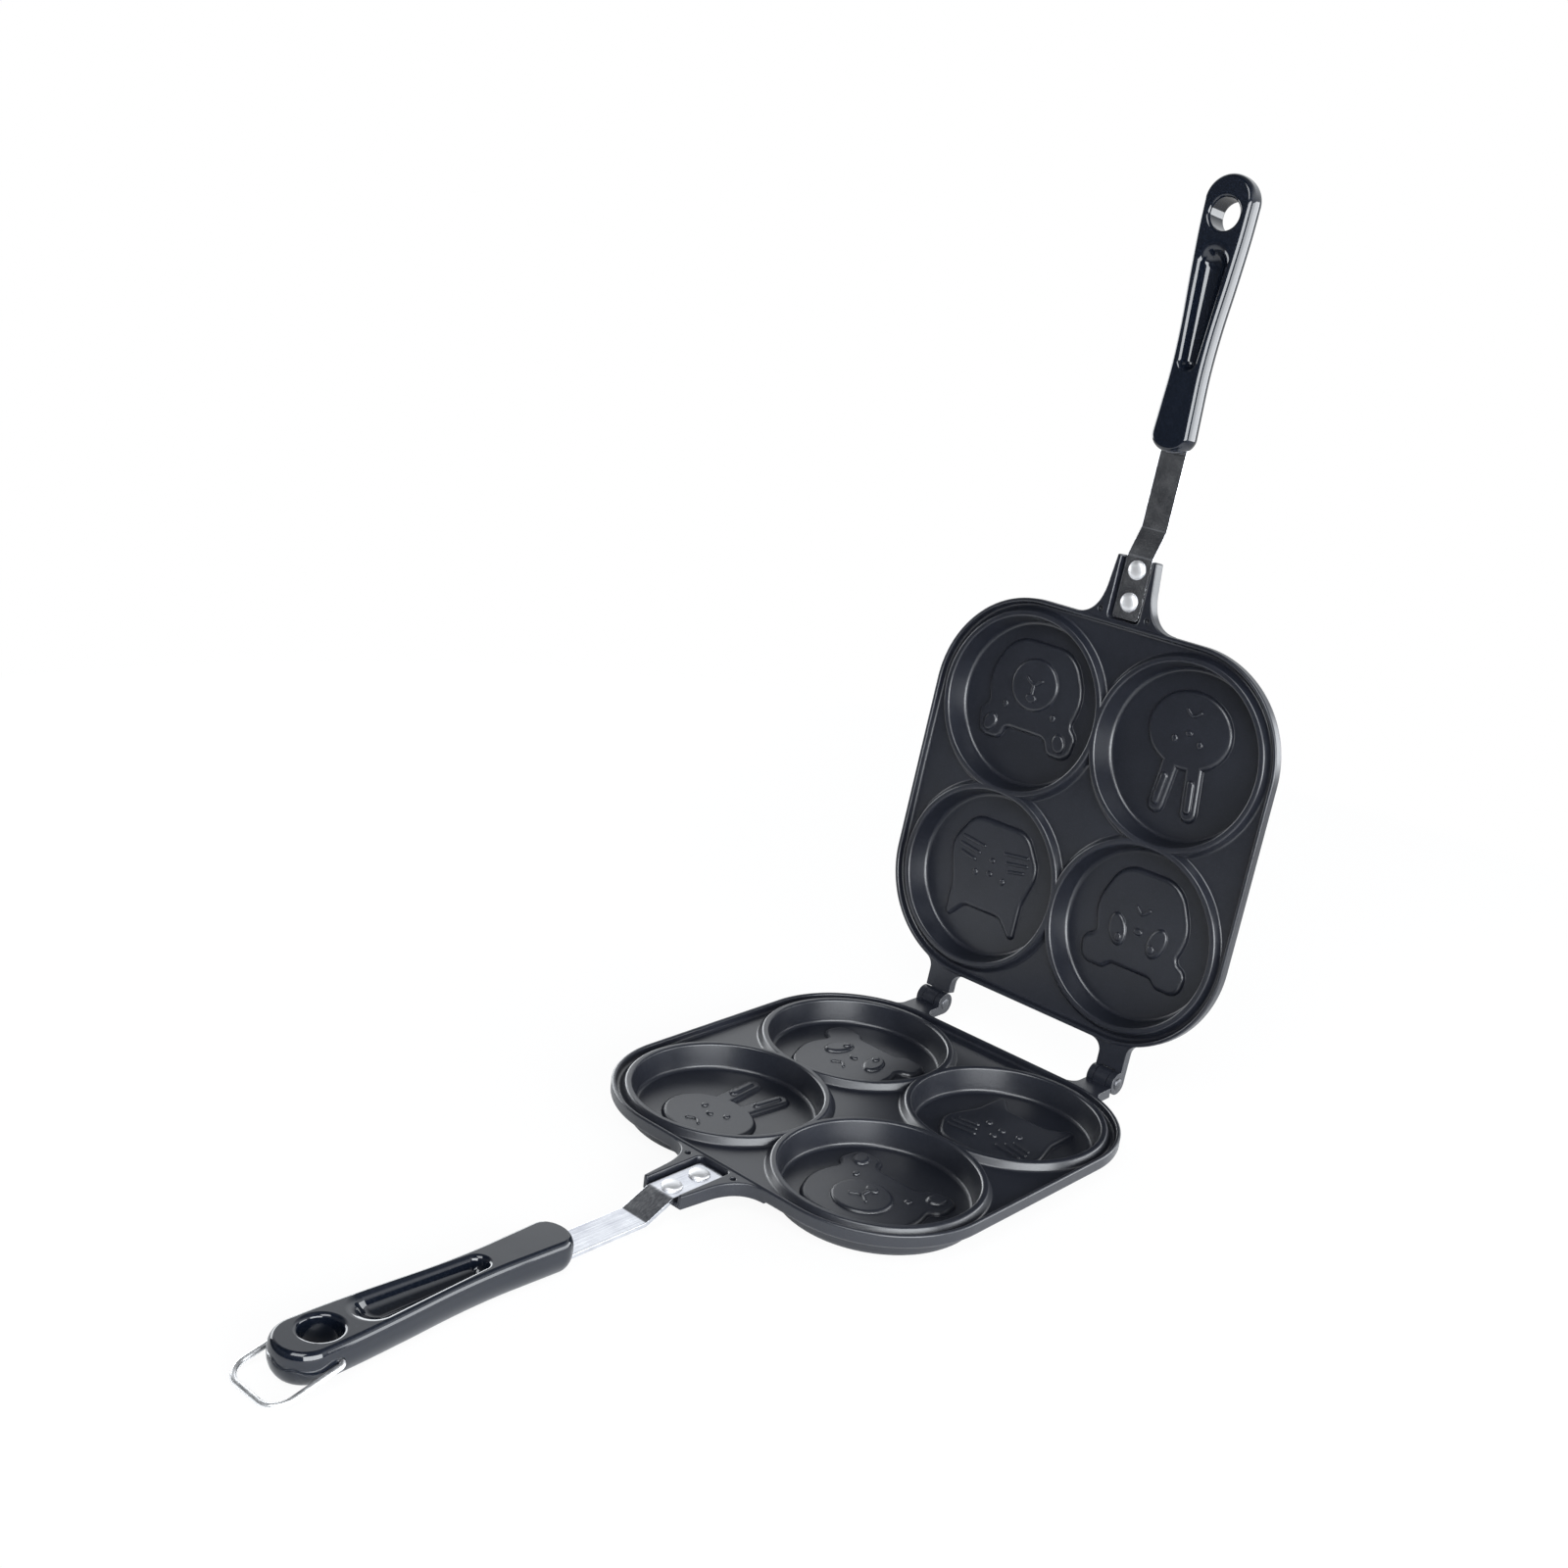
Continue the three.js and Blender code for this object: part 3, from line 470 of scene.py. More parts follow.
def bracket():
    tip = FAR_EDGE - BRACKET_LENGTH
    tip_half = TROUGH_HALF + RIB_TIP
    right_side = [(BRACKET_ROOT_HALF, FAR_EDGE + BRACKET_OVERLAP)]
    start = Vector((BRACKET_ROOT_HALF, FAR_EDGE))
    bend = Vector((BRACKET_FLARE_HALF, FAR_EDGE))
    end = Vector((BRACKET_NECK_HALF, FAR_EDGE - BRACKET_NECK_AT))
    for k in range(BRACKET_FLARE_STEPS + 1):
        t = k / BRACKET_FLARE_STEPS
        right_side.append(tuple(start * (1 - t) ** 2 + bend * 2 * t * (1 - t) + end * t ** 2))
    right_side.append((tip_half, tip))
    plan = [(-x, y) for x, y in right_side] + list(reversed(right_side))
    body = upright("bracket", plan, TROUGH_FLOOR_BOTTOM, -BRACKET_DROP)
    beyond = tip - OVERRUN
    mouth = filleted([
        (-TROUGH_HALF, beyond, 0),
        (TROUGH_HALF, beyond, 0),
        (TROUGH_HALF, TROUGH_START, TROUGH_CORNER),
        (-TROUGH_HALF, TROUGH_START, TROUGH_CORNER),
    ], closed=True)
    trough = upright("trough", mouth, TROUGH_FLOOR_TOP, OVERRUN)
    bevelled(combined(body, "DIFFERENCE", [trough]), BRACKET_EDGE)
    floor = -BRACKET_DROP - PIT_DEPTH
    profile = filleted([
        (0, floor, 0),
        (PIT_RADIUS, floor, PIT_FILLET),
        (PIT_RADIUS, -BRACKET_DROP, PIT_LIP_ROUND),
        (PIT_MOUTH, -BRACKET_DROP, 0),
        (PIT_MOUTH, OVERRUN, 0),
        (0, OVERRUN, 0),
    ])
    pits = [turned("pit", profile, PIT_SIDES, (x, PIT_AT)) for x in (-PIT_SPREAD, PIT_SPREAD)]
    return combined(body, "DIFFERENCE", pits)


# The faces: heads raised on the cavity floors, with their features raised a little more.
# Places are in millimetres from the middle of a cavity, across and towards the hinge.
# Each layer has the height it stands up and how far inwards its side reaches.
HEAD = (2.0, 2.5)
FEATURE = (1.2, 1.8)
DOT = (0.8, 1.0)
LINE = (0.7, 0.8)
LINE_WIDTH = 1.8
LINE_END_STEPS = 8
FACE_TOP = FLOOR_TOP + HEAD[0]
FEATURE_TOP = FACE_TOP + FEATURE[0]
RELIEF_LEAN = 0.3
RELIEF_CROWN = 0.6
RELIEF_SKIRT = 0.2
RELIEF_ROOT = 0.8
OVAL_STEPS = 36
WIDE_OVAL = 10.0


def oval(across, up, half_width, half_height, lean=0.0):
    steps = 2 * OVAL_STEPS if half_width > WIDE_OVAL else OVAL_STEPS
    turn = Matrix.Rotation(math.radians(lean), 2)
    outline = []
    for x, y in circle((0, 0), 1, steps):
        point = turn @ Vector((half_width * x, half_height * y))
        outline.append((across + point.x, up + point.y))
    return outline


def curved(points, steps=8):
    """A smooth line through points."""
    last = len(points) - 1
    line = []
    for i in range(last):
        a, b, c, d = (Vector(points[min(max(i + k, 0), last)]) for k in (-1, 0, 1, 2))
        for k in range(steps):
            t = k / steps
            line.append(tuple(
                b + 0.5 * t * (c - a + t * (2 * a - 5 * b + 4 * c - d + t * (3 * (b - c) + d - a)))
            ))
    line.append(tuple(points[-1]))
    return line


def round_end(centre, start):
    """Half a turn round the end of a line, from one of its sides to the other."""
    arm = start - centre
    turns = [math.pi * k / LINE_END_STEPS for k in range(1, LINE_END_STEPS)]
    return [centre + Matrix.Rotation(turn, 2) @ arm for turn in turns]


def stroke(points, width=LINE_WIDTH):
    """The outline of a line of one width with round ends."""
    line = [Vector(point) for point in curved(points)]
    sides = []
    for side in (1, -1):
        row = []
        for i, point in enumerate(line):
            along = (line[min(i + 1, len(line) - 1)] - line[max(i - 1, 0)]).normalized()
            row.append(point + Vector((along.y, -along.x)) * side * width / 2)
        sides.append(row)
    there, back = sides
    outline = there + round_end(line[-1], there[-1])
    outline += back[::-1] + round_end(line[0], back[0])
    return [tuple(point) for point in outline]


def relief(outline, base, height, reach):
    """A raised shape whose side rises steeply and then rounds over, as far in as its reach."""
    lean = RELIEF_LEAN * reach
    skirt = RELIEF_SKIRT * reach
    crown = RELIEF_CROWN * reach / math.tan(math.atan2(height, lean) / 2)
    foot = crown / 6
    section = filleted([
        (-skirt, base - RELIEF_ROOT, 0),
        (-skirt, base - SEAM, 0),
        (0.0, base - SEAM, foot),
        (lean, base + height, crown),
        (reach, base + height, 0),
    ])
    return stepped("relief", lambda inwards: inset(outline, inwards), section)


def both(outline):
    """An outline and its mirror image, both counter-clockwise."""
    return [outline, [(-x, y) for x, y in reversed(outline)]]


def rounded(corners):
    """A closed outline, the same on both sides, from the corners on its right side."""
    left = [(-x, y, radius) for x, y, radius in reversed(corners)]
    line = filleted(corners + left, closed=True, turn_per_step=math.radians(6))
    return [tuple(point) for point in line]


PANDA = {
    "head": [rounded([
        (17, -31.2, 16), (27.5, -8, 22), (22.5, 6, 3.5), (30.2, 9.2, 6), (28.2, 22.6, 7),
        (15, 22.4, 4.5), (11, 18.6, 4),
    ])],
    "features": both(oval(11.2, 0.8, 4.9, 8.2, 17)),
    "dots": [oval(0, -1.4, 2.4, 1.8)],
    "lines": [stroke([(-3.6, -13.0), (0, -10.2), (3.6, -13.0)])],
    "upper dots": both(oval(9.4, 4.2, 1.9, 2.3)),
    "upper lines": [],
}
CAT = {
    "head": [rounded([
        (17, -27.4, 13), (28, -10, 14), (22.2, 9, 16), (22.1, 32, 2.6), (11, 20, 5),
    ])],
    "features": [],
    "dots": [oval(0, -0.5, 1.9, 1.5), oval(0, -7.4, 1.9, 1.4)] + both(oval(8.6, 1.2, 1.6, 1.8)),
    "lines": both(stroke([(20.0, -14.9), (6.4, -13.2)]))
    + both(stroke([(20.7, -10.8), (8.8, -9.0)]))
    + both(stroke([(19.4, -6.8), (10.7, -5.0)])),
    "upper dots": [],
    "upper lines": [],
}
RABBIT = {
    "head": [oval(0.5, -11.5, 23.0, 19.4)] + both(stroke([(6.4, 3.0), (9.0, 26.4)], 9.4)),
    "features": both(stroke([(7.4, 12.4), (8.8, 24.8)], 4.2)),
    "dots": [oval(0, -10.6, 1.9, 1.5)] + both(oval(6.9, -6.6, 1.6, 1.9)),
    "lines": [stroke([(-3.6, -21.4), (0, -19.0), (3.6, -21.4)])],
    "upper dots": [],
    "upper lines": [],
}
BEAR = {
    "head": [rounded([
        (19, -31.4, 18), (29.5, -10, 24), (25.2, 5, 4), (30, 9.5, 5.5), (28, 23, 7),
        (14.5, 22.6, 5), (11.5, 15.2, 4),
    ])],
    "features": [oval(0, -9.7, 13.8, 13.4)] + both(oval(21.2, 14.8, 3.9, 5.0, -20)),
    "dots": both(oval(14.6, 3.6, 1.6, 2.0)),
    "lines": [],
    "upper dots": [oval(0, -3.0, 3.2, 2.3)],
    "upper lines": [
        stroke([(0, -5.0), (0, -9.4)]),
        stroke([(-4.4, -12.6), (0, -10.0), (4.4, -12.6)]),
    ],
}
CAVITIES = [
    ((-RING_RADIUS, NEAR_ROW), PANDA),
    ((RING_RADIUS, NEAR_ROW), CAT),
    ((-RING_RADIUS, FAR_ROW), RABBIT),
    ((RING_RADIUS, FAR_ROW), BEAR),
]


def face(centre, shapes):
    layers = (
        ("head", FLOOR_TOP, HEAD),
        ("features", FACE_TOP, FEATURE),
        ("dots", FACE_TOP, DOT),
        ("lines", FACE_TOP, LINE),
        ("upper dots", FEATURE_TOP, DOT),
        ("upper lines", FEATURE_TOP, LINE),
    )
    parts = [
        relief(line, base, *rise)
        for layer, base, rise in layers
        for line in shapes[layer]
    ]
    body = combined(parts[0], "UNION", parts[1:])
    body.data.transform(Matrix.Translation((*centre, 0)))
    return body


class Wire:
    """A node's output that can be used in sums."""

    def __init__(self, tree, socket):
        self.tree = tree
        self.socket = socket

    def _maths(self, operation, other, swapped=False):
        inputs = {0: other, 1: self} if swapped else {0: self, 1: other}
        return self.tree.node("ShaderNodeMath", {"operation": operation}, inputs)

    def __add__(self, other):
        return self._maths("ADD", other)

    __radd__ = __add__

    def __sub__(self, other):
        return self._maths("SUBTRACT", other)

    def __rsub__(self, other):
        return self._maths("SUBTRACT", other, swapped=True)

    def __mul__(self, other):
        return self._maths("MULTIPLY", other)

    __rmul__ = __mul__

    def __pow__(self, other):
        return self._maths("POWER", other)

    def at_least(self, other):
        return self._maths("MAXIMUM", other)


class Wiring:
    """A node tree that is built node by node."""

    def __init__(self, tree):
        self.nodes = tree.nodes
        self.links = tree.links

    def feed(self, socket, value):
        if isinstance(value, Wire):
            self.links.new(value.socket, socket)
        else:
            socket.default_value = value

    def node(self, kind, settings=None, inputs=None, output=0):
        node = self.nodes.new(kind)
        for setting, value in (settings or {}).items():
            setattr(node, setting, value)
        for socket, value in (inputs or {}).items():
            self.feed(node.inputs[socket], value)
        return Wire(self, node.outputs[output])

    def place(self):
        return self.node("ShaderNodeTexCoord", output="Object")

    def part(self, vector, axis):
        """One of the three numbers of a vector."""
        return self.node("ShaderNodeSeparateXYZ", None, {0: vector}, axis)

    def spread(self, value, low, high, to_low=0.0, to_high=1.0):
        inputs = {0: value, 1: low, 2: high, 3: to_low, 4: to_high}
        return self.node("ShaderNodeMapRange", None, inputs)

    def mixed(self, factor, first, second):
        inputs = {0: factor, 6: first, 7: second}
        return self.node("ShaderNodeMix", {"data_type": "RGBA"}, inputs, 2)


class Finish(Wiring):
    """A material; its constant sockets are given with its name."""

    def __init__(self, name, **sockets):
        self.material = bpy.data.materials.new(name)
        self.material.use_nodes = True
        super().__init__(self.material.node_tree)
        self.shader = self.nodes["Principled BSDF"]
        for socket, value in sockets.items():
            self.set(socket.replace("_", " "), value)

    def set(self, socket, value):
        self.feed(self.shader.inputs[socket], value)

    def noise(self, scale, detail=2.0, roughness=0.5, stretch=(1, 1, 1)):
        place = self.node("ShaderNodeMapping", None, {"Vector": self.place(), "Scale": stretch})
        inputs = {"Vector": place, "Scale": scale, "Detail": detail, "Roughness": roughness}
        return self.node("ShaderNodeTexNoise", None, inputs, "Fac")

    def bump(self, height, strength, distance):
        inputs = {"Height": height, "Strength": strength, "Distance": distance}
        self.set("Normal", self.node("ShaderNodeBump", None, inputs))

    def dress(self, shape):
        shape.data.materials.clear()
        shape.data.materials.append(self.material)


def coating():
    """Sprayed non-stick coating: satin, fine-grained over the blasted metal, a little cloudy."""
    look = Finish("nonstick_coating", IOR=1.65)
    grain = look.noise(1500, detail=2.0, roughness=0.6)
    cloud = look.noise(26, detail=3.0)
    speck = look.spread(look.noise(2600, detail=1.0), 0.62, 0.72)
    dark = (0.006, 0.007, 0.011, 1)
    light = (0.012, 0.014, 0.021, 1)
    fleck = (0.035, 0.039, 0.052, 1)
    ground = look.mixed(look.spread(grain + cloud, 0.7, 1.3), dark, light)
    look.set("Base Color", look.mixed(speck * 0.5, ground, fleck))
    look.set("Roughness", look.spread(grain + cloud * 0.6, 0.5, 1.1, to_low=0.28, to_high=0.36))
    look.bump(grain, strength=0.1, distance=0.0001)
    return look


casting = combined(plate_blank(), "UNION", [clevis(-ARM_SPREAD), tongue(ARM_SPREAD), bracket()])
combined(casting, "DIFFERENCE", [dish()])
combined(casting, "UNION", [bowl(centre) for centre, shapes in CAVITIES])
combined(casting, "DIFFERENCE", [cavity(centre) for centre, shapes in CAVITIES])
combined(casting, "UNION", [face(centre, shapes) for centre, shapes in CAVITIES])
smoothed(casting)
nonstick = coating()
for half, matrix in HALVES.items():
    piece = placed(casting, f"{half}_casting", matrix)
    nonstick.dress(piece)
    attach(piece, f"{half}_pan")
    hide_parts(f"{half}_plate")
bpy.data.objects.remove(casting)

# Straps. A flat steel strap joins each bracket to its grip: laid in the bracket, cranked
# down behind it and narrowed to a tang inside the grip. Cut and bent from rolled strip,
# with its corners rounded off and its cut edges broken.
STRAP_WIDTH = 14.4
STRAP_THICKNESS = 2.0
STRAP_DROP = 2.9
STRAP_START = FAR_EDGE - 1.7
STRAP_BEND = FAR_EDGE - 32.3
CRANK_RUN = 14.0
CRANK_FALL = 6.2
STRAP_CORNER = 2.6
STRAP_EDGE = 0.3
STRAP_SHOULDER = 10.0
GRIP_FRONT = FAR_EDGE - 83.0
TANG_LENGTH = 35.0
TANG_WIDTH = 11.0
TANG_TOP = -STRAP_DROP - CRANK_FALL
BEND_RADIUS = 2.2
RIVET_RADIUS = 2.4
RIVETS = (FAR_EDGE - 10.2, FAR_EDGE - 26.0)


def strap():
    top = -STRAP_DROP
    low = TANG_TOP
    low_bend = STRAP_BEND - CRANK_RUN
    end = GRIP_FRONT - TANG_LENGTH
    shift = STRAP_THICKNESS * math.tan(math.atan2(CRANK_FALL, CRANK_RUN) / 2)
    profile = filleted([
        (STRAP_START, top, 0),
        (STRAP_BEND, top, BEND_RADIUS + STRAP_THICKNESS),
        (low_bend, low, BEND_RADIUS),
        (end, low, 0),
        (end, low - STRAP_THICKNESS, 0),
        (low_bend + shift, low - STRAP_THICKNESS, BEND_RADIUS + STRAP_THICKNESS),
        (STRAP_BEND + shift, top - STRAP_THICKNESS, BEND_RADIUS),
        (STRAP_START, top - STRAP_THICKNESS, 0),
    ], turn_per_step=math.radians(4))
    half = STRAP_WIDTH / 2
    tang = TANG_WIDTH / 2
    shoulder = GRIP_FRONT - STRAP_SHOULDER
    outline = filleted([
        (half, STRAP_START, STRAP_CORNER),
        (-half, STRAP_START, STRAP_CORNER),
        (-half, shoulder, 0),
        (-tang, shoulder, 0),
        (-tang, end - OVERRUN, 0),
        (tang, end - OVERRUN, 0),
        (tang, shoulder, 0),
        (half, shoulder, 0),
    ], closed=True)
    below = low - STRAP_THICKNESS - OVERRUN
    body = swept("strap", profile, half + OVERRUN)
    combined(body, "INTERSECT", [upright("plan", outline, below, 0)])
    bevelled(body, STRAP_EDGE)
    shank = [(0, below), (RIVET_RADIUS, below), (RIVET_RADIUS, 0), (0, 0)]
    holes = [turned("hole", shank, HOLE_SIDES, (0, y)) for y in RIVETS]
    return combined(body, "DIFFERENCE", holes)


def strap_steel():
    """Bright rolled steel, with the faint lengthwise grain of the rolls."""
    look = Finish("strap_steel", Metallic=1.0)
    grain = look.noise(1.0, detail=3.0, roughness=0.6, stretch=(1400, 40, 1400))
    cloud = look.noise(110, detail=4.0, roughness=0.6)
    shade = look.spread(grain * 0.5 + cloud * 0.5, 0.35, 0.65)
    grey = (0.52, 0.53, 0.58, 1)
    pale = (0.84, 0.85, 0.88, 1)
    look.set("Base Color", look.mixed(shade, grey, pale))
    look.set("Roughness", look.spread(grain + cloud, 0.7, 1.3, to_low=0.16, to_high=0.27))
    look.bump(grain, strength=0.06, distance=0.00005)
    return look


strap_piece = smoothed(strap())
bright_steel = strap_steel()
for half, matrix in HALVES.items():
    piece = placed(strap_piece, f"{half}_flat_strap", matrix)
    bright_steel.dress(piece)
    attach(piece, f"{half}_pan")
    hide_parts(f"{half}_strap")
bpy.data.objects.remove(strap_piece)

# Rivets. Two aluminium rivets hold each strap to its bracket. Their round heads lie on the
# strap and their tails are upset under the bracket's floor.
RIVET_SIZES = {
    "Head radius": 4.7,
    "Head height": 2.0,
    "Tail radius": 3.9,
    "Tail height": 1.6,
    "Shank radius": RIVET_RADIUS,
    "Grip": -STRAP_DROP - TROUGH_FLOOR_BOTTOM,
}
HEAD_SEGMENTS = 48
HEAD_RINGS = 24
HEAD_FULLNESS = 0.8


class Rule(Wiring):
    """A shape that Geometry Nodes make from points, with named sizes."""

    def __init__(self, name, sizes, material):
        self.tree = bpy.data.node_groups.new(name, "GeometryNodeTree")
        super().__init__(self.tree)
        self.material = material
        self.sizes = sizes
        sockets = self.tree.interface
        sockets.new_socket("Points", in_out="INPUT", socket_type="NodeSocketGeometry")
        sockets.new_socket("Shape", in_out="OUTPUT", socket_type="NodeSocketGeometry")
        for size in sizes:
            sockets.new_socket(size, in_out="INPUT", socket_type="NodeSocketFloat")
        self.entry = self.nodes.new("NodeGroupInput")

    def given(self, name):
        return Wire(self, self.entry.outputs[name])

    def ends_in(self, shape):
        real = self.node("GeometryNodeRealizeInstances", None, {0: shape})
        inputs = {"Geometry": real, "Material": self.material}
        coloured = self.node("GeometryNodeSetMaterial", None, inputs)
        self.feed(self.nodes.new("NodeGroupOutput").inputs[0], coloured)

    def grown(self, name, points):
        step = points.modifiers.new("rule", "NODES")
        step.node_group = self.tree
        for item in self.tree.interface.items_tree:
            if item.in_out == "INPUT" and item.name in self.sizes:
                step[item.identifier] = self.sizes[item.name]
        evaluated(points)
        points.name = name
        return facing_outwards(points)


def domed(rule, radius, height):
    """A round head on the plane z = 0: a ball whose lower half is pressed flat."""
    sizes = {"Segments": HEAD_SEGMENTS, "Rings": HEAD_RINGS, "Radius": 1.0}
    ball = rule.node("GeometryNodeMeshUVSphere", None, sizes)
    place = rule.node("GeometryNodeInputPosition")
    x, y, z = (rule.part(place, axis) for axis in range(3))
    up = z.at_least(0.0) ** HEAD_FULLNESS * height
    moved = rule.node("ShaderNodeCombineXYZ", None, {0: x * radius, 1: y * radius, 2: up})
    return rule.node("GeometryNodeSetPosition", None, {"Geometry": ball, "Position": moved})


def rivet_rule(material):
    rule = Rule("rivets", RIVET_SIZES, material)
    grip = rule.given("Grip")
    head = domed(rule, rule.given("Head radius"), rule.given("Head height"))
    below = rule.node("ShaderNodeCombineXYZ", None, {2: grip * -1.0})
    tail = rule.node("GeometryNodeTransform", None, {
        "Geometry": domed(rule, rule.given("Tail radius"), rule.given("Tail height")),
        "Translation": below,
        "Rotation": (math.pi, 0, 0),
    })
    cylinder = rule.node("GeometryNodeMeshCylinder", None, {
        "Vertices": HOLE_SIDES,
        "Radius": rule.given("Shank radius"),
        "Depth": grip,
    })
    middle = rule.node("ShaderNodeCombineXYZ", None, {2: grip * -0.5})
    shank = rule.node("GeometryNodeTransform", None, {"Geometry": cylinder, "Translation": middle})
    join = rule.nodes.new("GeometryNodeJoinGeometry")
    for part in (head, tail, shank):
        rule.links.new(part.socket, join.inputs[0])
    one = Wire(rule, join.outputs[0])
    inputs = {"Points": rule.given("Points"), "Instance": one}
    rule.ends_in(rule.node("GeometryNodeInstanceOnPoints", None, inputs))
    return rule


def rivet_aluminium():
    """Bright drawn aluminium, with faint marks of the rivet set."""
    look = Finish("rivet_aluminium", Metallic=1.0)
    marks = look.noise(420, detail=2.0, roughness=0.6)
    silver = (0.92, 0.92, 0.93, 1)
    white = (0.97, 0.97, 0.98, 1)
    look.set("Base Color", look.mixed(marks, silver, white))
    look.set("Roughness", look.spread(marks, 0.3, 0.7, to_low=0.42, to_high=0.52))
    look.bump(marks, strength=0.05, distance=0.0001)
    return look


aluminium = rivet_aluminium()
rivets = rivet_rule(aluminium.material)
seats = new_object("seats", [(0, y, -STRAP_DROP) for y in RIVETS], [])
rivet_pair = smoothed(rivets.grown("rivet_pair", seats))
for half, matrix in HALVES.items():
    piece = placed(rivet_pair, f"{half}_rivets", matrix)
    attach(piece, f"{half}_pan")
    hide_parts(f"{half}_front_rivet", f"{half}_rear_rivet")
bpy.data.objects.remove(rivet_pair)

# Hinge pins. A zinc-plated steel pin runs through each clevis: a domed head outside, and a
# tail spread over the cheek inside.
PIN_HEAD_RADIUS = 3.0
PIN_HEAD_HEIGHT = 1.2
PIN_TAIL_RADIUS = 2.8
PIN_TAIL_HEIGHT = 0.7
PIN_SIDES = 48
DOME_STEPS = 9


def dome_line(radius, base, height):
    """From the rim of a dome to its crown."""
    return [(radius * x, base + height * y) for x, y in quarter(DOME_STEPS)]


def hinge_pin():
    half = ARM_WIDTH / 2
    head = list(reversed(dome_line(PIN_HEAD_RADIUS, -half, -PIN_HEAD_HEIGHT)))
    shank = [(PIN_RADIUS, -half), (PIN_RADIUS, half)]
    tail = dome_line(PIN_TAIL_RADIUS, half, PIN_TAIL_HEIGHT)
    pin = turned("pin", head + shank + tail, PIN_SIDES)
    pin.data.transform(Matrix.Rotation(math.pi / 2, 4, "Y"))
    pin.data.transform(Matrix.Translation((-ARM_SPREAD, 0, 0)))
    return smoothed(pin)


def dulled_zinc():
    """Zinc plate that heat has dulled dark and a little blotchy."""
    look = Finish("dulled_zinc", Metallic=1.0)
    blotches = look.noise(700, detail=3.0, roughness=0.6)
    dark = (0.07, 0.072, 0.08, 1)
    light = (0.14, 0.142, 0.15, 1)
    look.set("Base Color", look.mixed(blotches, dark, light))
    look.set("Roughness", look.spread(blotches, 0.3, 0.7, to_low=0.40, to_high=0.50))
    look.bump(blotches, strength=0.08, distance=0.0001)
    return look


zinc = dulled_zinc()
pin_piece = hinge_pin()
for half, matrix in HALVES.items():
    piece = placed(pin_piece, f"{half}_clevis_pin", matrix)
    zinc.dress(piece)
    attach(piece, f"{half}_pan")
    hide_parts(f"{half}_hinge_pin")
bpy.data.objects.remove(pin_piece)

# Grips. Each is moulded in glossy black phenolic resin round the tang's pocket, with a
# finger recess in its inner face and a hole through its tip to hang the pan up.
GRIP_LENGTH = 131.0
GRIP_HALF = 13.0
GRIP_DEPTH = 15.0
GRIP_TOP = -0.6
UNDER_ROUND_WIDTH = 6.5
UNDER_ROUND_HEIGHT = 8.8
UNDER_ROUND_STEPS = 20
TOP_ROUND_WIDTH = 2.5
TOP_ROUND_HEIGHT = 4.6
TOP_ROUND_STEPS = 12
SIDE_STEPS = 12
NOSE_STEPS = 20
TIP_STEPS = 48
HOLE_FROM_TIP = 19.0
HOLE_RADIUS = 7.8
HOLE_ROUND = 1.9
HANG_HOLE_SIDES = 96
RECESS_START = 39.0
RECESS_END = 97.0
RECESS_NARROW = 4.6
RECESS_WIDE = 7.6
RECESS_DEPTH = 6.4
RECESS_SLOPE = 3.4
RECESS_RAMP = 0.5
RECESS_LIP_ROUND = 3.8
RECESS_FOOT_ROUND = 6.0
RECESS_FLOOR = 7.1
RECESS_MARGIN = 2.5
RECESS_END_STEPS = 32
SCREW_FROM_FRONT = 26.0
SCREW_RADIUS = 1.8
SCREW_HEAD_RADIUS = 3.4
SCREW_HEAD_HEIGHT = 2.2
SCREW_SUNK = 0.8
SCREW_TIP = 9.5
SCREW_SIDES = 48
WIRE_RADIUS = 1.2
LOOP_PIVOT_DROP = 6.9
LOOP_PIN_DEPTH = 3.0
SOCKET_SIDES = 32
FIT = 0.3
HOLE_AT = -(GRIP_LENGTH - HOLE_FROM_TIP)
GRIP_BASE = -GRIP_DEPTH
# Along the grip from its front end and across it, as shares of its length and half width.
SIDE_STATIONS = [
    (0.065, 0.8), (0.17, 0.75), (0.3, 0.7), (0.45, 0.74), (0.62, 0.87), (0.78, 0.97),
]


def grip_outline(inwards):
    """Drawn from the grip's front end: nose, left side, round tip, right side."""
    side = [(wide * GRIP_HALF - inwards, -along * GRIP_LENGTH) for along, wide in SIDE_STATIONS]
    tip = -(GRIP_LENGTH - GRIP_HALF)
    side.append((GRIP_HALF - inwards, tip))
    side = curved(side, SIDE_STEPS)
    shoulder = Vector(side[0])
    arms = (
        Vector((0, -inwards)),
        Vector((shoulder.x / 2, -inwards)),
        Vector((shoulder.x, (shoulder.y - 2 * inwards) / 3)),
        shoulder,
    )
    nose = []
    for k in range(1, NOSE_STEPS):
        t = k / NOSE_STEPS
        nose.append(
            arms[0] * (1 - t) ** 3 + arms[1] * 3 * t * (1 - t) ** 2
            + arms[2] * 3 * t * t * (1 - t) + arms[3] * t ** 3
        )
    left = [(-x, y) for x, y in nose] + [(-x, y) for x, y in side[:-1]]
    right = [(x, y) for x, y in reversed(side[:-1])] + [(x, y) for x, y in reversed(nose)]
    end = arc((0, tip), GRIP_HALF - inwards, math.pi, 2 * math.pi, TIP_STEPS)
    return [(0, -inwards)] + left + end + right


def grip_section():
    """From the underside round the flank to the inner face, as (inwards, z)."""
    under = [
        (UNDER_ROUND_WIDTH * (1 - y), GRIP_BASE + UNDER_ROUND_HEIGHT * (1 - x))
        for x, y in quarter(UNDER_ROUND_STEPS)
    ]
    over = [
        (TOP_ROUND_WIDTH * (1 - x), TOP_ROUND_HEIGHT * y - TOP_ROUND_HEIGHT)
        for x, y in quarter(TOP_ROUND_STEPS)[1:]
    ]
    return under + over


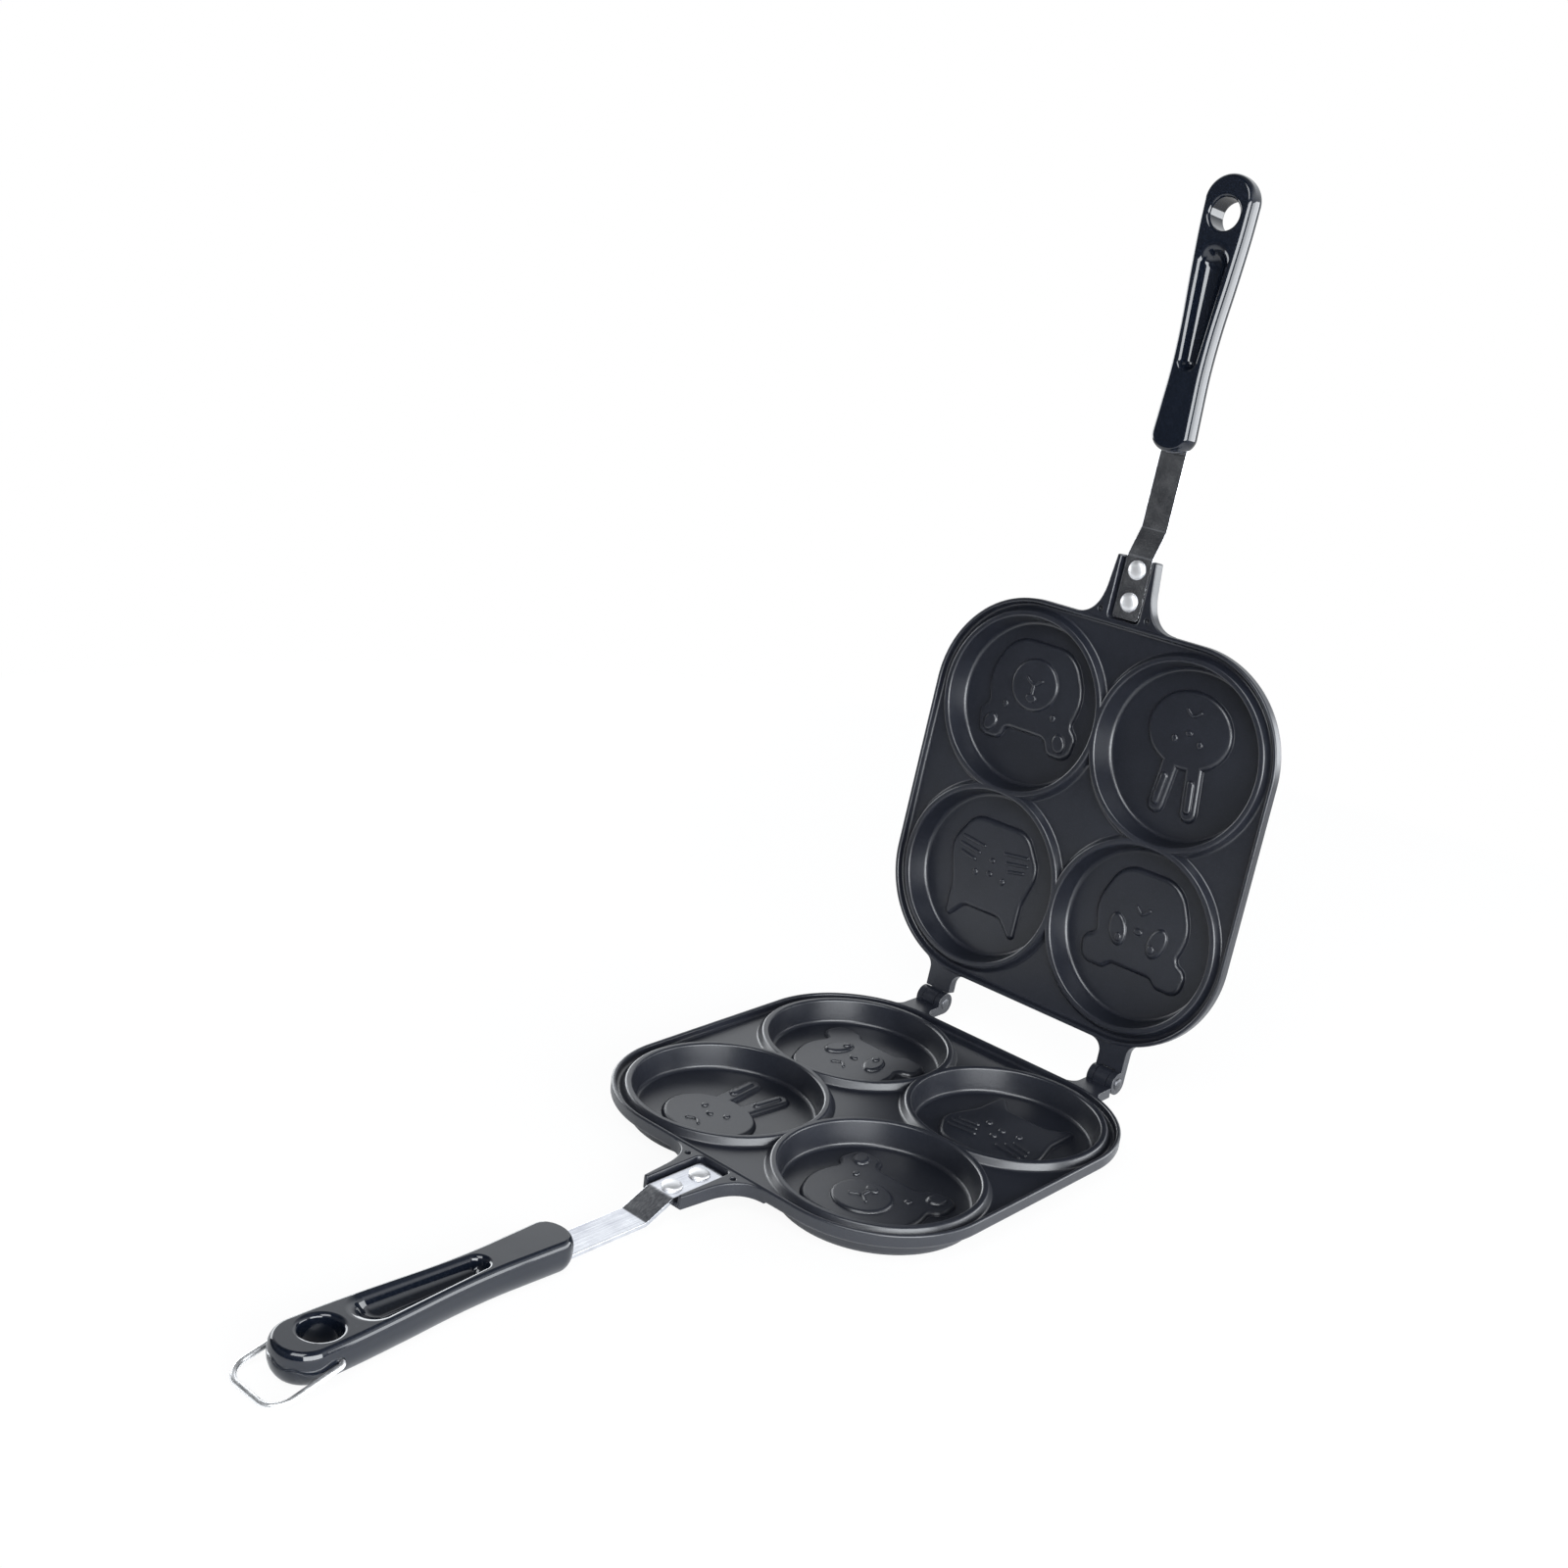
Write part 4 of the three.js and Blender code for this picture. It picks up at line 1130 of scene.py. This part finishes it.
def recess():
    """A soft hollow: its walls narrow with it, and the wall at its wide end leans most."""
    def outline(inwards):
        share = 1 - inwards / RECESS_WIDE
        narrow = (0, -(RECESS_START + RECESS_NARROW))
        wide = (0, -(RECESS_END - RECESS_WIDE) + RECESS_RAMP * inwards)
        front = arc(narrow, RECESS_NARROW * share, 0, math.pi, RECESS_END_STEPS)
        return front + arc(wide, RECESS_WIDE * share, math.pi, 2 * math.pi, RECESS_END_STEPS)

    section = filleted([
        (RECESS_FLOOR, -RECESS_DEPTH, 0),
        (RECESS_SLOPE, -RECESS_DEPTH, RECESS_FOOT_ROUND),
        (0.0, 0.0, RECESS_LIP_ROUND),
        (-RECESS_MARGIN, 0.0, 0),
        (-RECESS_MARGIN, OVERRUN, 0),
    ], turn_per_step=math.radians(4))
    return stepped("recess", outline, section)


def hang_hole():
    mouth = HOLE_RADIUS + HOLE_ROUND
    profile = filleted([
        (0, GRIP_BASE - OVERRUN, 0),
        (mouth, GRIP_BASE - OVERRUN, 0),
        (mouth, GRIP_BASE, 0),
        (HOLE_RADIUS, GRIP_BASE, HOLE_ROUND),
        (HOLE_RADIUS, 0, HOLE_ROUND),
        (mouth, 0, 0),
        (mouth, OVERRUN, 0),
        (0, OVERRUN, 0),
    ])
    return turned("hang_hole", profile, HANG_HOLE_SIDES, (0, HOLE_AT))


def tang_pocket():
    top = TANG_TOP - GRIP_TOP + SEAM
    bottom = TANG_TOP - GRIP_TOP - STRAP_THICKNESS - SEAM
    wide = STRAP_WIDTH / 2 + SEAM
    narrow = TANG_WIDTH / 2 + SEAM
    front = block("pocket", (-wide, -STRAP_SHOULDER - SEAM, bottom), (wide, OVERRUN, top))
    return combined(front, "UNION", [
        block("rear", (-narrow, -TANG_LENGTH - SEAM, bottom), (narrow, 0, top)),
    ])


def screw_seat():
    head = SCREW_HEAD_RADIUS + FIT
    shank = SCREW_RADIUS + FIT
    profile = [
        (0, GRIP_BASE - OVERRUN),
        (head, GRIP_BASE - OVERRUN),
        (head, GRIP_BASE + SCREW_SUNK + FIT),
        (shank, GRIP_BASE + SCREW_SUNK + SCREW_HEAD_HEIGHT + FIT),
        (shank, GRIP_BASE + SCREW_TIP + FIT),
        (0, GRIP_BASE + SCREW_TIP + FIT),
    ]
    return turned("screw_seat", profile, SCREW_SIDES, (0, -SCREW_FROM_FRONT))


def loop_socket(side):
    inner = GRIP_HALF - LOOP_PIN_DEPTH - FIT
    outer = GRIP_HALF + OVERRUN
    radius = WIRE_RADIUS + FIT
    profile = [(0, inner), (radius, inner), (radius, outer), (0, outer)]
    socket = turned("socket", profile, SOCKET_SIDES)
    socket.data.transform(Matrix.Rotation(side * math.pi / 2, 4, "Y"))
    socket.data.transform(Matrix.Translation((0, HOLE_AT, -LOOP_PIVOT_DROP)))
    return facing_outwards(socket)


def grip(half):
    tools = [recess(), hang_hole(), tang_pocket(), screw_seat()]
    if half == "lower":
        tools += [loop_socket(side) for side in (1, -1)]
    body = combined(stepped("grip", grip_outline, grip_section()), "DIFFERENCE", tools)
    body.data.transform(Matrix.Translation((0, GRIP_FRONT, GRIP_TOP)))
    return smoothed(body)


def phenolic():
    """Black phenolic resin, moulded to a high gloss, with a trace of waviness and of dust."""
    look = Finish("phenolic_resin", IOR=1.6)
    waves = look.noise(60, detail=1.0, roughness=0.4)
    dust = look.noise(900, detail=3.0, roughness=0.7)
    navy = (0.004, 0.006, 0.011, 1)
    grey = (0.011, 0.014, 0.022, 1)
    look.set("Base Color", look.mixed(look.spread(dust, 0.5, 0.8), navy, grey))
    look.set("Roughness", look.spread(dust, 0.4, 0.8, to_low=0.06, to_high=0.14))
    look.bump(waves, strength=0.08, distance=0.0008)
    return look


resin = phenolic()
for half, matrix in HALVES.items():
    shape = grip(half)
    piece = placed(shape, f"{half}_moulded_grip", matrix)
    bpy.data.objects.remove(shape)
    resin.dress(piece)
    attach(piece, f"{half}_pan")
    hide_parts(f"{half}_grip")

# Grip screws. A countersunk, cross-slotted steel screw goes up through each grip's
# underside into the tang. It is plated like the hinge pins.
SLOT_WIDTH = 1.0
SLOT_LENGTH = 3.8
SLOT_DEPTH = 1.3
SCREW_EDGE = 0.3
SCREW_POINT = 1.2


def grip_screw():
    head_top = SCREW_SUNK + SCREW_HEAD_HEIGHT
    profile = filleted([
        (0, SCREW_SUNK, 0),
        (SCREW_HEAD_RADIUS, SCREW_SUNK, SCREW_EDGE),
        (SCREW_RADIUS, head_top, 0),
        (SCREW_RADIUS, SCREW_TIP - SCREW_POINT, 0),
        (0, SCREW_TIP, 0),
    ])
    body = turned("screw", profile, SCREW_SIDES)
    slots = []
    for wide, long in ((SLOT_WIDTH, SLOT_LENGTH), (SLOT_LENGTH, SLOT_WIDTH)):
        low = (-wide / 2, -long / 2, -OVERRUN)
        slots.append(block("slot", low, (wide / 2, long / 2, SCREW_SUNK + SLOT_DEPTH)))
    combined(body, "DIFFERENCE", slots)
    seat = (0, GRIP_FRONT - SCREW_FROM_FRONT, GRIP_TOP - GRIP_DEPTH)
    body.data.transform(Matrix.Translation(seat))
    return smoothed(body)


screw_piece = grip_screw()
for half, matrix in HALVES.items():
    piece = placed(screw_piece, f"{half}_countersunk_screw", matrix)
    zinc.dress(piece)
    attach(piece, f"{half}_pan")
    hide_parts(f"{half}_grip_screw")
bpy.data.objects.remove(screw_piece)

# Lock loop. One chromed wire, bent to a U, is sprung into the lower grip's two sockets and
# swings over the upper grip's tip to hold the pan shut.
LOOP_REACH = 29.0
LOOP_CORNER = 8.0
LOOP_HALF = GRIP_HALF + FIT + WIRE_RADIUS
LOOP_END_BEND = LOOP_HALF - GRIP_HALF + 0.4
LOOP_Z = GRIP_TOP - LOOP_PIVOT_DROP
LOOP_DROOP = math.asin((LOOP_Z - TABLE - WIRE_RADIUS) / LOOP_REACH)


def loop_line():
    """The wire's corners before bending, each with the radius of its bend."""
    end = GRIP_HALF - LOOP_PIN_DEPTH
    corners = [(end, 0, 0), (LOOP_HALF, 0, LOOP_END_BEND), (LOOP_HALF, -LOOP_REACH, LOOP_CORNER)]
    corners += [(-x, y, bend) for x, y, bend in reversed(corners)]
    links = [(i, i + 1) for i in range(len(corners) - 1)]
    line = new_object("line", [(x, y, 0) for x, y, bend in corners], [], links)
    bends = line.data.attributes.new("bend", "FLOAT", "POINT")
    bends.data.foreach_set("value", [bend for x, y, bend in corners])
    return line


def loop_rule(material):
    rule = Rule("bent_wire", {"Wire radius": WIRE_RADIUS}, material)
    line = rule.node("GeometryNodeMeshToCurve", None, {"Mesh": rule.given("Points")})
    bend = rule.node("GeometryNodeInputNamedAttribute", {"data_type": "FLOAT"}, {"Name": "bend"})
    inputs = {"Curve": line, "Count": 16, "Radius": bend, "Limit Radius": True}
    bent = rule.node("GeometryNodeFilletCurve", {"mode": "POLY"}, inputs)
    inputs = {"Resolution": 24, "Radius": rule.given("Wire radius")}
    section = rule.node("GeometryNodeCurvePrimitiveCircle", None, inputs)
    inputs = {"Curve": bent, "Profile Curve": section, "Fill Caps": True}
    rule.ends_in(rule.node("GeometryNodeCurveToMesh", None, inputs))
    return rule


def chrome_plate():
    """Bright chrome plating on drawn wire."""
    look = Finish("chrome_plate", Metallic=1.0)
    drawn = look.noise(500, detail=2.0)
    silver = (0.92, 0.93, 0.94, 1)
    white = (0.97, 0.97, 0.98, 1)
    look.set("Base Color", look.mixed(drawn, silver, white))
    look.set("Roughness", look.spread(drawn, 0.3, 0.7, to_low=0.32, to_high=0.42))
    look.bump(drawn, strength=0.04, distance=0.0001)
    return look


chrome = chrome_plate()
wire = smoothed(loop_rule(chrome.material).grown("wire", loop_line()))
wire.data.transform(Matrix.Rotation(LOOP_DROOP, 4, "X"))
wire.data.transform(Matrix.Translation((0, GRIP_FRONT + HOLE_AT, LOOP_Z)))
loop = placed(wire, "wire_loop", HALVES["lower"])
bpy.data.objects.remove(wire)
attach(loop, "lock_loop")
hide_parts("lock_loop")

# Floor and light. White paper on the floor; a white backdrop behind the pan, dimmer near
# the floor; a dim room in front and overhead. Soft lamps stand at the left, at the right
# and behind on the right, and one hangs high up by the camera.
PAPER_HALF = 4.0
PAPER_DROP = 0.0003
PAPER_WHITE = 0.93
GLOW_NEAR = 0.1
GLOW_FAR = 0.5
ROOM = 0.16
BACKDROP = 1.35
CEILING = 0.14
SKIRTING = 0.35
WHITE = (1, 1, 1, 1)
COOL_WHITE = (0.94, 0.97, 1.0)
LIT_POINT = Vector((0, 0, 0.15))

corners = [(-1, -1), (1, -1), (1, 1), (-1, 1)]
floor_points = [(PAPER_HALF * x, PAPER_HALF * y, -PAPER_DROP) for x, y in corners]
floor = new_object("floor", floor_points, [(0, 1, 2, 3)])
paper = Finish("white_paper", Base_Color=(0.88, 0.88, 0.88, 1), Roughness=0.95)
camera_ray = paper.node("ShaderNodeLightPath", output="Is Camera Ray")
glossy_ray = paper.node("ShaderNodeLightPath", output="Is Glossy Ray")
away = paper.node("ShaderNodeVectorMath", {"operation": "LENGTH"}, {0: paper.place()}, "Value")
y = paper.part(paper.place(), 1)
glow = camera_ray.at_least(paper.spread(y, -0.6, 0.2, GLOW_NEAR, GLOW_FAR))
white = paper.node("ShaderNodeEmission", None, {"Color": glow, "Strength": 1.0})
far = paper.spread(away, 0.3, 0.8)
share = (camera_ray * PAPER_WHITE).at_least(camera_ray.at_least(glossy_ray) * far)
lit = Wire(paper, paper.shader.outputs[0])
surface = paper.node("ShaderNodeMixShader", None, {0: share, 1: lit, 2: white})
paper.feed(paper.nodes["Material Output"].inputs["Surface"], surface)
paper.dress(floor)

world = bpy.data.worlds.new("studio")
scene.world = world
world.use_nodes = True
studio = Wiring(world.node_tree)
seen = studio.node("ShaderNodeLightPath", output="Is Camera Ray")
y = studio.part(studio.place(), 1)
z = studio.part(studio.place(), 2)
backdrop = studio.spread(y, -0.2, 0.3, ROOM, BACKDROP)
ceiling = studio.spread(z, 0.5, 0.75, 1.0, CEILING)
skirting = studio.spread(z, 0.1, 0.38, SKIRTING, 1.0)
strength = seen + (1.0 - seen) * backdrop * ceiling * skirting
colour = studio.mixed(seen, (*COOL_WHITE, 1), WHITE)
studio.feed(studio.nodes["Background"].inputs["Color"], colour)
studio.feed(studio.nodes["Background"].inputs["Strength"], strength)


def lamp(name, place, size, power):
    light = bpy.data.lights.new(name, "AREA")
    light.shape = "RECTANGLE"
    light.size, light.size_y = size
    light.energy = power
    light.color = COOL_WHITE
    body = bpy.data.objects.new(name, light)
    scene.collection.objects.link(body)
    body.location = place
    body.rotation_euler = (LIT_POINT - Vector(place)).to_track_quat("-Z", "Y").to_euler()
    body.visible_camera = False


lamp("left", (-1.1, 0.2, 0.26), (1.2, 0.5), 9)
lamp("right", (1.3, -0.45, 0.42), (1.4, 0.8), 34)
lamp("back right", (1.0, 1.2, 0.3), (1.4, 0.6), 15)
lamp("overhead", (0.7, -1.5, 1.9), (1.4, 1.4), 38)
